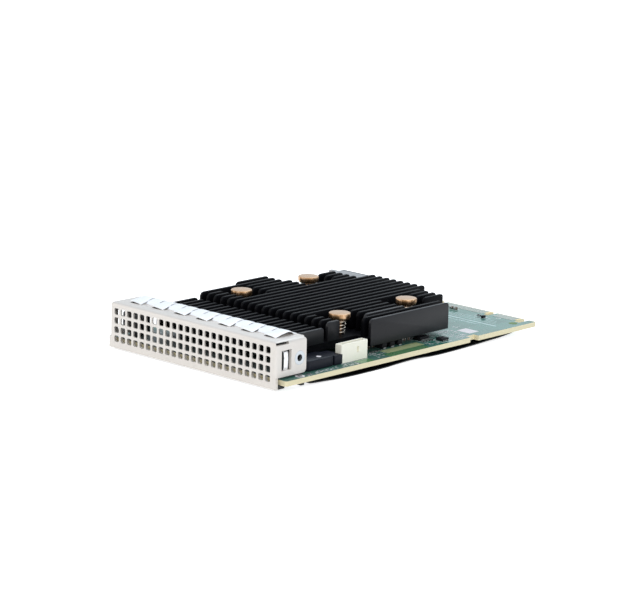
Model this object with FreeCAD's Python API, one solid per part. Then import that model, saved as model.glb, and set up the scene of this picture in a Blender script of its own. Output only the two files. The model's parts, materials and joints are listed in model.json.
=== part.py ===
import FreeCAD, Part
import math
import os

V = FreeCAD.Vector

# Frame: X to the right seen from the front, Y from the faceplate to the card edge, Z up.
# The origin is under the middle of the card, level with its lowest point. All sizes are in mm.
# Places along the card are depths behind the front of the faceplate. Heights are taken from the
# lower edge of the faceplate, and the whole card is lifted at the end by what the sheet under it
# hangs lower.

# Driving dimensions
CARD_LENGTH = 117.0
BOARD_WIDTH = 76.0
BOARD_SETBACK = 2.0
BOARD_THICKNESS = 1.57
BOARD_TOP = 2.75
FACEPLATE_WIDTH = 70.8
FACEPLATE_HEIGHT = 14.2
FACEPLATE_DEPTH = 13.0
SHEET = 1.0
FIN_PITCH = 3.0
FIN_THICKNESS = 1.05
FIN_TOP = 13.5
LOW_FIN_TOP = 12.1
SINK_BOTTOM = 5.2
SINK_BASE_TOP = 7.7

# Board outline
BOARD_BOTTOM = BOARD_TOP - BOARD_THICKNESS
BOARD_HALF = BOARD_WIDTH / 2
BOARD_LENGTH = CARD_LENGTH - BOARD_SETBACK
BOARD_CORNER = 0.8
SIDE_NOTCH_START = 84.4
SIDE_NOTCH_LENGTH = 4.0
SIDE_NOTCH_DEPTH = 2.0
TONGUE_HALF = 33.0
TONGUE_RELIEF = 2.2
TONGUE_DEPTH = 5.3
KEY_WIDTH = 1.8
KEY_BEVEL = 0.5
SHORT_GROUP = 14
LONG_GROUP = 28
CONTACT_PITCH = 0.6
CONTACT_WIDTH = 0.36
CONTACT_LENGTH = 4.2
CONTACT_THICKNESS = 0.05
CONTACT_SETBACK = 0.45

# Faceplate
PLATE_HALF = FACEPLATE_WIDTH / 2
PLATE_BEND = 1.0
FLANGE_BOTTOM = 3.4
FLANGE_CORNER = 1.3
TOP_FLANGE_CORNER = 1.3
APRON_OVERHANG = 0.2
HOLE_COLUMNS = 24
HOLE_ROWS = 4
HOLE_PITCH_X = 2.81
HOLE_PITCH_Z = 2.85
HOLE_SIZE = 2.0
TOP_HOLE_ROW = 11.53
SLOT_START = 2.6
SLOT_END = 6.4
SLOT_LOW = 5.2
SLOT_HIGH = 11.3
RELIEF_START = 0.5
RELIEF_END = 5.4
RELIEF_LOW = 13.25
RELIEF_HIGH = 13.8
RELIEF_REACH = 2.2

# Contact finger strip on the top flange
FINGER_COUNT = 13
FINGER_PITCH = 4.76
FINGER_SHEET = 0.2
FINGER_SLIT = 0.3
FINGER_SLIT_START = 9.6
FINGER_FRONT = 4.1
FINGER_SHORT_FRONT = 5.7
FINGER_LIFT = 0.12
FINGER_CREST_DEPTH = 9.3
FINGER_CREST = 15.6
FINGER_HEEL = 12.0
FINGER_SHOULDER = 1.1
FINGER_SHOULDER_RISE = 0.88
FINGER_REAR = 12.7

# Side leaf and mounting block
BOSS_DEPTH = 10.2
BOSS_HEIGHT = 8.1
BOSS_RADIUS = 2.1
BORE_RADIUS = 1.025
LEAF_THICKNESS = 0.25
LEAF_BOW = 0.2
LEAF_START = 4.2
LEAF_END = 6.3
LEAF_OVERLAP = 1.0
LEAF_RAMP = 0.8
BLOCK_WIDTH = 3.4
BLOCK_START = 7.4
BLOCK_END = 12.8
BLOCK_TOP = 11.2
BLOCK_SCREW_RADIUS = 1.0
BLOCK_SCREW_HEAD_RADIUS = 1.9
BLOCK_SCREW_HEAD = 0.6
BLOCK_SCREW_GRIP = 2.4

# Heat sink outline, by fin
LOW_FIN_START = 13.5
LOW_FIN_END = 30.0
MAIN_FIN_START = 32.1
RIGHT_STEP_START = 44.7
RIGHT_STEP_END = 80.2
RIGHT_REAR = 88.2
CENTRE_REAR = 93.2
LEFT_REAR = 87.2
LEFT_STEP_START = 50.7
LEFT_STEP_END = 65.0
FIN_NOSE = 1.5
FIN_SUNK = 0.5
POCKET_HALF_WIDTH = 6.0
POCKET_HALF_LENGTH = 6.2
FRONT_LEFT_POCKET_REACH = 3.8
PEDESTAL_SIZE = 24.0
PEDESTAL_DROP = 0.35

# Retaining pins
PIN_X = 21.0
PIN_FRONT = 42.6
PIN_REAR = 73.0
PIN_TOP = 14.2
PIN_HEAD_RADIUS = 3.4
PIN_HEAD_RIM = 0.8
PIN_HEAD_CONE = 1.5
PIN_NECK_RADIUS = 1.7
PIN_FOOT = 0.42
PIN_SHANK_RADIUS = 1.1
PIN_HOLE_RADIUS = 1.3
SPRING_LOW_RADIUS = 1.6
SPRING_HIGH_RADIUS = 2.4
SPRING_WIRE_RADIUS = 0.27
SPRING_TOP = 12.05
SPRING_TURNS = 4
SPRING_SIDES = 8
RETAINER_SIZE = 4.6
RETAINER_CORNER = 0.9
RETAINER_THICKNESS = 0.6

# Packages under the heat sink
SUBSTRATE_SIZE = 25.0
SUBSTRATE_THICKNESS = 1.1
LID_SIZE = 20.0
LID_HEIGHT = 0.75
MEMORY_WIDTH = 9.0
MEMORY_LENGTH = 11.0
MEMORY_HEIGHT = 1.0
MEMORY_X = 20.0
MEMORY_GAP = 1.6
PAD_INSET = 0.5
LID_BRIM = 1.5
LID_BRIM_SHARE = 0.4
LID_CORNER = 1.0

# White header
HEADER_RIGHT = 34.3
HEADER_WIDTH = 2.6
HEADER_START = 29.8
HEADER_LENGTH = 10.8
HEADER_HEIGHT = 5.8
HEADER_WALL = 0.5
HEADER_PINS = 5
HEADER_PIN_SIDE = 0.5
HEADER_PIN_MARGIN = 1.5
HEADER_PIN_LENGTH = 3.4
HEADER_FLOOR = 1.4
HEADER_WINDOW = 0.6
HEADER_WINDOW_PLACE = 0.7
HEADER_WINDOW_LOW = 3.4
HEADER_WINDOW_HIGH = 1.8

# Moulded choke and regulator
CHOKE_RIGHT = 34.5
CHOKE_WIDTH = 7.4
CHOKE_START = 14.6
CHOKE_LENGTH = 11.6
CHOKE_HEIGHT = 3.2
CHOKE_CORNER = 0.8
REGULATOR_GAP = 0.2
REGULATOR_INSET = 1.0
REGULATOR_LENGTH = 2.8
REGULATOR_HEIGHT = 2.5

# Cable connector at the rear left
SHELL_LEFT = -30.2
SHELL_RIGHT = -13.0
SHELL_START = 88.0
SHELL_END = 99.4
SHELL_TOP = 11.0
SHELL_SHEET = 0.3
SHELL_CORNER = 0.5
SHELL_WING = 6.0
WING_FRONT_INSET = 1.0
WING_REAR_INSET = 1.5
WING_DROP = 0.6
WING_CORNER = 0.5
PLUG_GAP_HEIGHT = 4.4
PLUG_GAP_START = 92.5
PLUG_GAP_MARGIN = 1.0
HOUSING_INSET = 0.6
TONGUE_MARGIN = 2.0
TONGUE_ROOT = 1.0
TONGUE_INSET = 1.6
TONGUE_THICKNESS = 1.0
CABLE_CONTACTS = 18
CABLE_CONTACT_PITCH = 0.8
CABLE_CONTACT_WIDTH = 0.4
CABLE_CONTACT_HEIGHT = 0.15
CABLE_CONTACT_INSET = 2.2

# Sheet under the board: how far it hangs below the board at each low and high place along it,
# and how far below the board both lobes are flat, where the card rests
INSULATOR = 0.25
INSULATOR_HALF = 37.0
INSULATOR_FRONT = 10.6
INSULATOR_REAR = 104.0
FRONT_HEM = 1.6
REAR_HEM = 2.2
FRONT_LOBE = 38.5
FRONT_LOBE_DROP = 1.65
PINCH = 57.4
PINCH_DROP = 1.02
REAR_LOBE = 71.5
REAR_LOBE_DROP = 1.72
SHOULDER = 18.0
SHOULDER_DROP = 0.95
SLOPE = 88.0
SLOPE_DROP = 1.05
REST_DROP = 1.73
NOTCH_CLEARANCE = 0.3

# Foam under the front edge of the board
GASKET_HALF = 37.2
GASKET_END = 3.7
GASKET_THICKNESS = 1.12
SIDE_PAD_X = 36.1
SIDE_PAD_DEPTH = 9.55
SIDE_PAD_SIZE = 1.7
SIDE_PAD_THICKNESS = 0.85

# Small parts: width, length and height
CERAMIC_SIZE = (0.8, 1.6, 0.8)
BULK_SIZE = (2.5, 2.0, 1.7)
RESISTOR_SIZE = (0.5, 1.0, 0.35)
INDUCTOR_SIZE = (4.4, 4.4, 2.0)
REAR_CHIP_SIZE = (1.2, 1.4, 0.8)
SQUARE_CHIP_SIZE = (3.2, 3.2, 0.9)
MIDDLE_CHIP_SIZE = (3.6, 4.4, 1.2)
LEFT_CHIP_SIZE = (4.0, 5.0, 1.2)
UNDER_CAPACITOR_SIZE = (0.8, 1.6, 0.35)
UNDER_ROWS = 4
UNDER_COLUMNS = 5
UNDER_PITCH_X = 4.0
UNDER_PITCH_Y = 4.4


def at(depth):
    """Y of a place that lies this far behind the front of the faceplate."""
    return depth - CARD_LENGTH / 2


def block(x0, x1, depth0, depth1, z0, z1):
    """Rectangular block between two corners, with depths for Y."""
    corner = V(min(x0, x1), at(min(depth0, depth1)), min(z0, z1))
    return Part.makeBox(abs(x1 - x0), abs(depth1 - depth0), abs(z1 - z0), corner)


def chip(x, depth, width, length, z0, height):
    """Block centred on a place on the board."""
    return block(x - width / 2, x + width / 2, depth - length / 2, depth + length / 2, z0, z0 + height)


def upright(x, depth, radius, z0, z1):
    """Upright cylinder."""
    return Part.makeCylinder(radius, z1 - z0, V(x, at(depth), z0))


def octagon(x, depth, radius, z0, z1):
    """Upright eight-sided prism, for holes and shanks that stay out of sight; radius is to its flats."""
    corner = radius / math.cos(math.pi / 8)
    angles = [(side + 0.5) * math.pi / 4 for side in range(8)]
    ring = [V(x + corner * math.cos(angle), at(depth) + corner * math.sin(angle), z0) for angle in angles]
    return Part.Face(Part.makePolygon(ring + ring[:1])).extrude(V(0, 0, z1 - z0))


def cross(side, depth, z, radius, x0, x1):
    """Cylinder along X on the given side of the card, from |x| = x0 to x1."""
    return Part.makeCylinder(radius, x1 - x0, V(side * x0, at(depth), z), V(side, 0, 0))


def revolved(points, x, depth):
    """Solid turned about an upright axis from (radius, height) points."""
    ring = [V(r, 0, z) for r, z in points]
    face = Part.Face(Part.makePolygon(ring + [ring[0]]))
    solid = face.revolve(V(0, 0, 0), V(0, 0, 1), 360)
    solid.translate(V(x, at(depth), 0))
    return solid


def joined(shapes):
    """One solid from shapes that touch or overlap."""
    return shapes[0].multiFuse(shapes[1:]).removeSplitter()


def group(shapes):
    """Separate solids kept in one node."""
    return Part.makeCompound(shapes)


def rounded(shape, radius, wanted):
    """Round the straight edges for which wanted(middle, direction) holds."""
    picked = []
    for edge in shape.Edges:
        if not edge.Degenerated and isinstance(edge.Curve, Part.Line):
            start = edge.Vertexes[0].Point
            end = edge.Vertexes[-1].Point
            if wanted((start + end) * 0.5, (end - start).normalize()):
                picked.append(edge)
    return shape.makeFillet(radius, picked)


def upright_edge(middle, direction):
    """True for an edge that runs up."""
    return abs(direction.z) > 0.99


def bevelled(shape, corner):
    """Cut the upright corners of a block off at 45 degrees."""
    picked = [edge for edge in shape.Edges if edge.Vertexes[0].Z != edge.Vertexes[1].Z]
    return shape.makeChamfer(corner, picked)


def mirrored(shape):
    """The same piece on the other side of the card."""
    return shape.mirror(V(0, 0, 0), V(1, 0, 0))


def contact_group_centres():
    """Middle and contact count of each group along the card edge, from the right."""
    short_width = SHORT_GROUP * CONTACT_PITCH
    long_width = LONG_GROUP * CONTACT_PITCH
    counts = [SHORT_GROUP, LONG_GROUP, SHORT_GROUP, LONG_GROUP]
    widths = [short_width, long_width, short_width, long_width]
    margin = (2 * TONGUE_HALF - sum(widths) - 3 * KEY_WIDTH) / 8
    centres = []
    edge = TONGUE_HALF
    for count, width in zip(counts, widths):
        centres.append((edge - margin - width / 2, count))
        edge -= width + 2 * margin + KEY_WIDTH
    return centres, margin


def circuit_board():
    """Board with chamfered front corners, side notches, card edge and key slots."""
    board = block(-BOARD_HALF, BOARD_HALF, BOARD_SETBACK, CARD_LENGTH, BOARD_BOTTOM, BOARD_TOP)
    board = rounded(board, BOARD_CORNER, upright_edge)
    cuts = []
    for side in (-1, 1):
        inner = side * (BOARD_HALF - SIDE_NOTCH_DEPTH)
        notch_end = SIDE_NOTCH_START + SIDE_NOTCH_LENGTH
        cuts.append(block(inner, side * (BOARD_HALF + 1), SIDE_NOTCH_START, notch_end, 0, BOARD_TOP + 1))
        relief_start = CARD_LENGTH - TONGUE_DEPTH
        relief = side * (TONGUE_HALF + TONGUE_RELIEF)
        cuts.append(block(side * TONGUE_HALF, relief, relief_start, CARD_LENGTH + 1, 0, BOARD_TOP + 1))
        for depth in (PIN_FRONT, PIN_REAR):
            cuts.append(octagon(side * PIN_X, depth, PIN_HOLE_RADIUS, 0, BOARD_TOP + 1))
        block_x = side * (PLATE_HALF - SHEET - BLOCK_WIDTH / 2)
        block_middle = (BLOCK_START + BLOCK_END) / 2
        cuts.append(octagon(block_x, block_middle, BLOCK_SCREW_RADIUS, 0, BOARD_TOP + 1))
    centres, margin = contact_group_centres()
    for centre, count in centres[:-1]:
        slot_right = centre - count * CONTACT_PITCH / 2 - margin
        slot = block(slot_right - KEY_WIDTH, slot_right, CARD_LENGTH - TONGUE_DEPTH, CARD_LENGTH + 1, 0,
                     BOARD_TOP + 1)
        cuts.append(bevelled(slot, KEY_BEVEL))
    return board.cut(cuts)


def edge_contacts(bottom, top):
    """Contacts on one side of the card edge."""
    pads = []
    for centre, count in contact_group_centres()[0]:
        for i in range(count):
            x = centre + (i - (count - 1) / 2) * CONTACT_PITCH
            end = CARD_LENGTH - CONTACT_SETBACK
            pads.append(block(x - CONTACT_WIDTH / 2, x + CONTACT_WIDTH / 2, end - CONTACT_LENGTH, end,
                              bottom, top))
    return group(pads)


def faceplate():
    """Sheet folded back at the top and both sides, with a perforated front and a flat apron below the flanges."""
    outer = block(-PLATE_HALF, PLATE_HALF, 0, FACEPLATE_DEPTH, 0, FACEPLATE_HEIGHT)

    def bend(middle, direction):
        at_front = middle.y < at(0.1)
        at_top = middle.z > FACEPLATE_HEIGHT - 0.1
        at_side = abs(middle.x) > PLATE_HALF - 0.1
        return (at_front and at_top) or (at_front and at_side) or (at_top and at_side)

    outer = rounded(outer, PLATE_BEND, bend)
    hollow = block(-PLATE_HALF + SHEET, PLATE_HALF - SHEET, SHEET, FACEPLATE_DEPTH + 1, -1,
                   FACEPLATE_HEIGHT - SHEET)
    plate = outer.cut(hollow)
    cuts = []
    for side in (-1, 1):
        inside = side * (PLATE_HALF - SHEET - 0.1)
        outside = side * (PLATE_HALF + 1)
        relief = side * (PLATE_HALF - RELIEF_REACH)
        cuts.append(block(inside, outside, SHEET, FACEPLATE_DEPTH + 1, -1, FLANGE_BOTTOM))
        cuts.append(block(inside, outside, SLOT_START, SLOT_END, SLOT_LOW, SLOT_HIGH))
        cuts.append(block(relief, outside, RELIEF_START, RELIEF_END, RELIEF_LOW, RELIEF_HIGH))
        cuts.append(cross(side, BOSS_DEPTH, BOSS_HEIGHT, BOSS_RADIUS, PLATE_HALF - SHEET - 1, PLATE_HALF + 1))
        cuts.append(shoulder_cut(inside, outside))
    plate = plate.cut(cuts)

    def flange_foot(middle, direction):
        return abs(direction.x) > 0.99 and middle.y > at(FACEPLATE_DEPTH - 0.1) and middle.z < FLANGE_BOTTOM + 0.1

    plate = rounded(plate, FLANGE_CORNER, flange_foot)
    apron_half = PLATE_HALF + APRON_OVERHANG
    apron = block(-apron_half, apron_half, 0, SHEET, 0, FLANGE_BOTTOM)
    return plate.fuse(apron).cut(perforation()).removeSplitter()


def shoulder_cut(inside, outside):
    """What is taken off where a side flange meets the rear of the top flange."""
    centre_depth = FACEPLATE_DEPTH - TOP_FLANGE_CORNER
    centre_z = FACEPLATE_HEIGHT - TOP_FLANGE_CORNER
    corner = block(inside, outside, centre_depth, FACEPLATE_DEPTH + 1, centre_z, FACEPLATE_HEIGHT + 1)
    side = math.copysign(1, outside)
    return corner.cut(cross(side, centre_depth, centre_z, TOP_FLANGE_CORNER, PLATE_HALF - 2 * SHEET, PLATE_HALF + 2))


def perforation():
    """Square holes in rows and columns across the front."""
    holes = []
    for column in range(HOLE_COLUMNS):
        for row in range(HOLE_ROWS):
            x = (column - (HOLE_COLUMNS - 1) / 2) * HOLE_PITCH_X
            z = TOP_HOLE_ROW - row * HOLE_PITCH_Z - HOLE_SIZE / 2
            holes.append(chip(x, 0, HOLE_SIZE, 2 * SHEET + 1, z, HOLE_SIZE))
    return holes


def gasket_finger_strip():
    """Domed strip of sprung fingers, slit at the rear and stepped at the front."""
    top = FACEPLATE_HEIGHT
    rise = FINGER_CREST - FINGER_SHEET - top
    shoulder_z = top + FINGER_SHOULDER_RISE * rise
    under = [V(0, at(FINGER_FRONT), top + FINGER_LIFT),
             V(0, at(FINGER_CREST_DEPTH - FINGER_SHOULDER), shoulder_z),
             V(0, at(FINGER_CREST_DEPTH), top + rise),
             V(0, at(FINGER_CREST_DEPTH + FINGER_SHOULDER), shoulder_z),
             V(0, at(FINGER_HEEL), top),
             V(0, at(FINGER_REAR), top)]
    over = [point + V(0, 0, FINGER_SHEET) for point in reversed(under)]
    face = Part.Face(Part.makePolygon(under + over + under[:1]))
    length = FINGER_COUNT * FINGER_PITCH
    strip = face.extrude(V(length, 0, 0))
    strip.translate(V(-length / 2, 0, 0))
    cuts = []
    for i in range(FINGER_COUNT + 1):
        x = (i - FINGER_COUNT / 2) * FINGER_PITCH
        if 0 < i < FINGER_COUNT:
            cuts.append(block(x - FINGER_SLIT / 2, x + FINGER_SLIT / 2, FINGER_SLIT_START, FINGER_REAR + 1,
                              top - 1, FINGER_CREST + 1))
        if i % 2 and i < FINGER_COUNT:
            cuts.append(block(x, x + FINGER_PITCH, 0, FINGER_SHORT_FRONT, top - 1, FINGER_CREST + 1))
    return strip.cut(cuts)


def side_leaf():
    """Upright spring leaf that bows out into the slot of the right flange."""
    wall = PLATE_HALF - SHEET
    low = SLOT_LOW - LEAF_OVERLAP
    high = SLOT_HIGH + LEAF_OVERLAP
    bow_low = SLOT_LOW + LEAF_RAMP
    bow_high = SLOT_HIGH - LEAF_RAMP
    start = at(LEAF_START)
    front = [V(wall, start, low), V(wall, start, SLOT_LOW), V(wall + LEAF_BOW, start, bow_low),
             V(wall + LEAF_BOW, start, bow_high), V(wall, start, SLOT_HIGH), V(wall, start, high)]
    rear = [point - V(LEAF_THICKNESS, 0, 0) for point in reversed(front)]
    face = Part.Face(Part.makePolygon(front + rear + front[:1]))
    return face.extrude(V(0, LEAF_END - LEAF_START, 0))


def mounting_block():
    """Die-cast block with a tapped boss that fills the hole of the right flange."""
    outer_x = PLATE_HALF - SHEET
    inner_x = outer_x - BLOCK_WIDTH
    body = block(inner_x, outer_x, BLOCK_START, BLOCK_END, BOARD_TOP, BLOCK_TOP)
    boss = cross(1, BOSS_DEPTH, BOSS_HEIGHT, BOSS_RADIUS, inner_x + 1, PLATE_HALF)
    bore = cross(1, BOSS_DEPTH, BOSS_HEIGHT, BORE_RADIUS, inner_x - 1, PLATE_HALF + 1)
    screw_hole = octagon(outer_x - BLOCK_WIDTH / 2, (BLOCK_START + BLOCK_END) / 2, BLOCK_SCREW_RADIUS, 0,
                         BOARD_TOP + BLOCK_SCREW_GRIP)
    return body.fuse(boss).cut([bore, screw_hole]).removeSplitter()


def block_screws():
    """Screws from below into the two mounting blocks."""
    screws = []
    for side in (-1, 1):
        x = side * (PLATE_HALF - SHEET - BLOCK_WIDTH / 2)
        depth = (BLOCK_START + BLOCK_END) / 2
        shank = octagon(x, depth, BLOCK_SCREW_RADIUS, BOARD_BOTTOM, BOARD_TOP + BLOCK_SCREW_GRIP)
        head = upright(x, depth, BLOCK_SCREW_HEAD_RADIUS, BOARD_BOTTOM - BLOCK_SCREW_HEAD, BOARD_BOTTOM)
        screws.append(shank.fuse(head).removeSplitter())
    return group(screws)


def front_gasket():
    """Foam bar behind the faceplate, under the front edge of the board, and a small pad behind each end."""
    bar = block(-GASKET_HALF, GASKET_HALF, SHEET, GASKET_END, BOARD_BOTTOM - GASKET_THICKNESS, BOARD_BOTTOM)
    pads = [chip(side * SIDE_PAD_X, SIDE_PAD_DEPTH, SIDE_PAD_SIZE, SIDE_PAD_SIZE,
                 BOARD_BOTTOM - SIDE_PAD_THICKNESS, SIDE_PAD_THICKNESS) for side in (-1, 1)]
    return group([bar] + pads)


def fin(x, start, end, top, nose_in_front=True):
    """One fin with the top corner at one end taken off in two bevels."""
    low = SINK_BASE_TOP - FIN_SUNK
    nose_end, tail_end, inward = (start, end, 1) if nose_in_front else (end, start, -1)
    turn = FIN_NOSE * (1 - math.sqrt(0.5))
    places = [(tail_end, low), (nose_end, low), (nose_end, top - FIN_NOSE),
              (nose_end + inward * turn, top - turn), (nose_end + inward * FIN_NOSE, top), (tail_end, top)]
    outline = [V(x - FIN_THICKNESS / 2, at(depth), z) for depth, z in places]
    return Part.Face(Part.makePolygon(outline + outline[:1])).extrude(V(FIN_THICKNESS, 0, 0))


def fin_place(number):
    """X of a fin, counted from the middle of the card."""
    return (number + 0.5) * FIN_PITCH


def fin_reach(x):
    """Front and rear of the main fin at this x, before the pockets are taken out."""
    if x > fin_place(8):
        return RIGHT_STEP_START, RIGHT_STEP_END
    if x > fin_place(7):
        return MAIN_FIN_START, RIGHT_STEP_END
    if x > fin_place(3):
        return MAIN_FIN_START, RIGHT_REAR
    if x > fin_place(-5):
        return MAIN_FIN_START, CENTRE_REAR
    if x > fin_place(-9):
        return MAIN_FIN_START, LEFT_REAR
    if x > fin_place(-11):
        return MAIN_FIN_START, LEFT_STEP_END
    return LEFT_STEP_START, LEFT_STEP_END


def outside_pockets(x, start, end):
    """Stretches of a fin that are left beside the pockets round the pins."""
    spans = [(start, end)]
    if abs(abs(x) - PIN_X) < POCKET_HALF_WIDTH:
        for pin_depth in (PIN_FRONT, PIN_REAR):
            short = x < 0 and pin_depth == PIN_FRONT
            low = pin_depth - (FRONT_LEFT_POCKET_REACH if short else POCKET_HALF_LENGTH)
            high = pin_depth + POCKET_HALF_LENGTH
            parts = [(a, min(b, low)) for a, b in spans] + [(max(a, high), b) for a, b in spans]
            spans = [(a, b) for a, b in parts if b - a > 2 * FIN_NOSE]
    return spans


def heat_sink():
    """Stepped base with thin fins, open pockets round the pins and a low front section."""
    fins = []
    for number in range(-11, 11):
        x = fin_place(number)
        start, end = fin_reach(x)
        if start == MAIN_FIN_START:
            fins.append(fin(x, LOW_FIN_START, LOW_FIN_END, LOW_FIN_TOP, nose_in_front=False))
        for span_start, span_end in outside_pockets(x, start, end):
            fins.append(fin(x, span_start, span_end, FIN_TOP))
    pedestal = chip(0, (PIN_FRONT + PIN_REAR) / 2, PEDESTAL_SIZE, PEDESTAL_SIZE, SINK_BOTTOM - PEDESTAL_DROP,
                    PEDESTAL_DROP + 0.5)
    sink = heat_sink_base().multiFuse(fins + [pedestal])
    holes = []
    for side in (-1, 1):
        for depth in (PIN_FRONT, PIN_REAR):
            holes.append(octagon(side * PIN_X, depth, PIN_HOLE_RADIUS, 0, SINK_BASE_TOP + 1))
    return sink.cut(holes).removeSplitter()


def heat_sink_base():
    """Flat base that follows the ends of the fins."""
    half_fin = FIN_THICKNESS / 2

    def outer(fins):
        return fins * FIN_PITCH + half_fin

    zones = [(-outer(9.5), outer(8.5), LOW_FIN_START, LEFT_STEP_END),
             (-outer(10.5), 0, LEFT_STEP_START, LEFT_STEP_END),
             (-outer(8.5), 0, LEFT_STEP_START, PIN_REAR + POCKET_HALF_LENGTH),
             (-outer(7.5), 0, LEFT_STEP_START, LEFT_REAR),
             (-outer(3.5), outer(3.5), LEFT_STEP_START, CENTRE_REAR),
             (0, outer(7.5), LEFT_STEP_START, RIGHT_REAR),
             (0, outer(10.5), RIGHT_STEP_START, RIGHT_STEP_END)]
    slabs = [block(x0, x1, d0, d1, SINK_BOTTOM, SINK_BASE_TOP) for x0, x1, d0, d1 in zones]
    return joined(slabs)


def retaining_pin(x, depth):
    """Turned pin with a flat head that tapers below its rim."""
    rim_low = PIN_TOP - PIN_HEAD_RIM
    cone_low = rim_low - PIN_HEAD_CONE
    profile = [(0, cone_low), (PIN_NECK_RADIUS, cone_low), (PIN_HEAD_RADIUS, rim_low),
               (PIN_HEAD_RADIUS, PIN_TOP), (0, PIN_TOP)]
    shank = octagon(x, depth, PIN_SHANK_RADIUS, PIN_FOOT, cone_low)
    return revolved(profile, x, depth).fuse(shank)


def pin_spring(x, depth):
    """Coil spring that widens towards the pin head, in many-sided turns of square wire set on edge."""
    wire = SPRING_WIRE_RADIUS
    low = SINK_BASE_TOP + wire
    high = SPRING_TOP - wire
    steps = SPRING_TURNS * SPRING_SIDES
    rings = []
    for step in range(steps + 1):
        share = step / steps
        angle = 2 * math.pi * step / SPRING_SIDES
        radius = SPRING_LOW_RADIUS + share * (SPRING_HIGH_RADIUS - SPRING_LOW_RADIUS)
        z = low + share * (high - low)
        section = [(radius + wire, z), (radius, z + wire), (radius - wire, z), (radius, z - wire)]
        ring = [V(x + r * math.cos(angle), at(depth) + r * math.sin(angle), height) for r, height in section]
        rings.append(Part.makePolygon(ring + ring[:1]))
    return Part.makeLoft(rings, True, True)


def pin_retainer(x, depth):
    """Push-on plate under the board that holds the pin."""
    plate = chip(x, depth, RETAINER_SIZE, RETAINER_SIZE, BOARD_BOTTOM - RETAINER_THICKNESS, RETAINER_THICKNESS)
    return bevelled(plate, RETAINER_CORNER).cut(octagon(x, depth, PIN_SHANK_RADIUS, 0, BOARD_BOTTOM + 1))


def controller():
    """Substrate, stepped metal lid and thermal pad between the pins."""
    depth = (PIN_FRONT + PIN_REAR) / 2
    substrate = chip(0, depth, SUBSTRATE_SIZE, SUBSTRATE_SIZE, BOARD_TOP, SUBSTRATE_THICKNESS)
    lid_bottom = BOARD_TOP + SUBSTRATE_THICKNESS
    brim_size = LID_SIZE + 2 * LID_BRIM
    brim = chip(0, depth, brim_size, brim_size, lid_bottom, LID_HEIGHT * LID_BRIM_SHARE)
    crown = chip(0, depth, LID_SIZE, LID_SIZE, lid_bottom, LID_HEIGHT)
    lid = brim.fuse(bevelled(crown, LID_CORNER)).removeSplitter()
    pad_bottom = lid_bottom + LID_HEIGHT
    pad = chip(0, depth, LID_SIZE, LID_SIZE, pad_bottom, SINK_BOTTOM - PEDESTAL_DROP - pad_bottom)
    return substrate, lid, pad


def memory():
    """Memory packages on both sides of the controller and their thermal pads."""
    packages = []
    pads = []
    middle = (PIN_FRONT + PIN_REAR) / 2
    pad_bottom = BOARD_TOP + MEMORY_HEIGHT
    for side in (-1, 1):
        for step in (-0.5, 0.5):
            x = side * MEMORY_X
            depth = middle + step * (MEMORY_WIDTH + MEMORY_GAP)
            packages.append(chip(x, depth, MEMORY_LENGTH, MEMORY_WIDTH, BOARD_TOP, MEMORY_HEIGHT))
            pads.append(chip(x, depth, MEMORY_LENGTH - 2 * PAD_INSET, MEMORY_WIDTH - 2 * PAD_INSET, pad_bottom,
                             SINK_BOTTOM - pad_bottom))
    return group(packages), group(pads)


def power_header():
    """White upright header with a keyed wall, and its pins."""
    left = HEADER_RIGHT - HEADER_WIDTH
    end = HEADER_START + HEADER_LENGTH
    top = BOARD_TOP + HEADER_HEIGHT
    body = block(left, HEADER_RIGHT, HEADER_START, end, BOARD_TOP, top)
    floor = BOARD_TOP + HEADER_FLOOR
    cavity = block(left + HEADER_WALL, HEADER_RIGHT - HEADER_WALL, HEADER_START + HEADER_WALL,
                   end - HEADER_WALL, floor, top + 1)
    window_depth = HEADER_START + HEADER_WINDOW_PLACE * HEADER_LENGTH
    window = block(HEADER_RIGHT - 1, HEADER_RIGHT + 1, window_depth - HEADER_WINDOW / 2,
                   window_depth + HEADER_WINDOW / 2, top - HEADER_WINDOW_LOW, top - HEADER_WINDOW_HIGH)
    housing = body.cut([cavity, window])
    pins = []
    pitch = (HEADER_LENGTH - 2 * HEADER_PIN_MARGIN) / (HEADER_PINS - 1)
    middle_x = (left + HEADER_RIGHT) / 2
    for i in range(HEADER_PINS):
        depth = HEADER_START + HEADER_PIN_MARGIN + i * pitch
        pins.append(chip(middle_x, depth, HEADER_PIN_SIDE, HEADER_PIN_SIDE, floor, HEADER_PIN_LENGTH))
    return housing, group(pins)


def moulded_choke():
    """Black moulded choke beside the heat sink."""
    body = block(CHOKE_RIGHT - CHOKE_WIDTH, CHOKE_RIGHT, CHOKE_START, CHOKE_START + CHOKE_LENGTH, BOARD_TOP,
                 BOARD_TOP + CHOKE_HEIGHT)
    return bevelled(body, CHOKE_CORNER)


def regulator_package():
    """Lower package between the choke and the header."""
    start = CHOKE_START + CHOKE_LENGTH + REGULATOR_GAP
    left = CHOKE_RIGHT - CHOKE_WIDTH + REGULATOR_INSET
    return block(left, CHOKE_RIGHT, start, start + REGULATOR_LENGTH, BOARD_TOP, BOARD_TOP + REGULATOR_HEIGHT)


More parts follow.
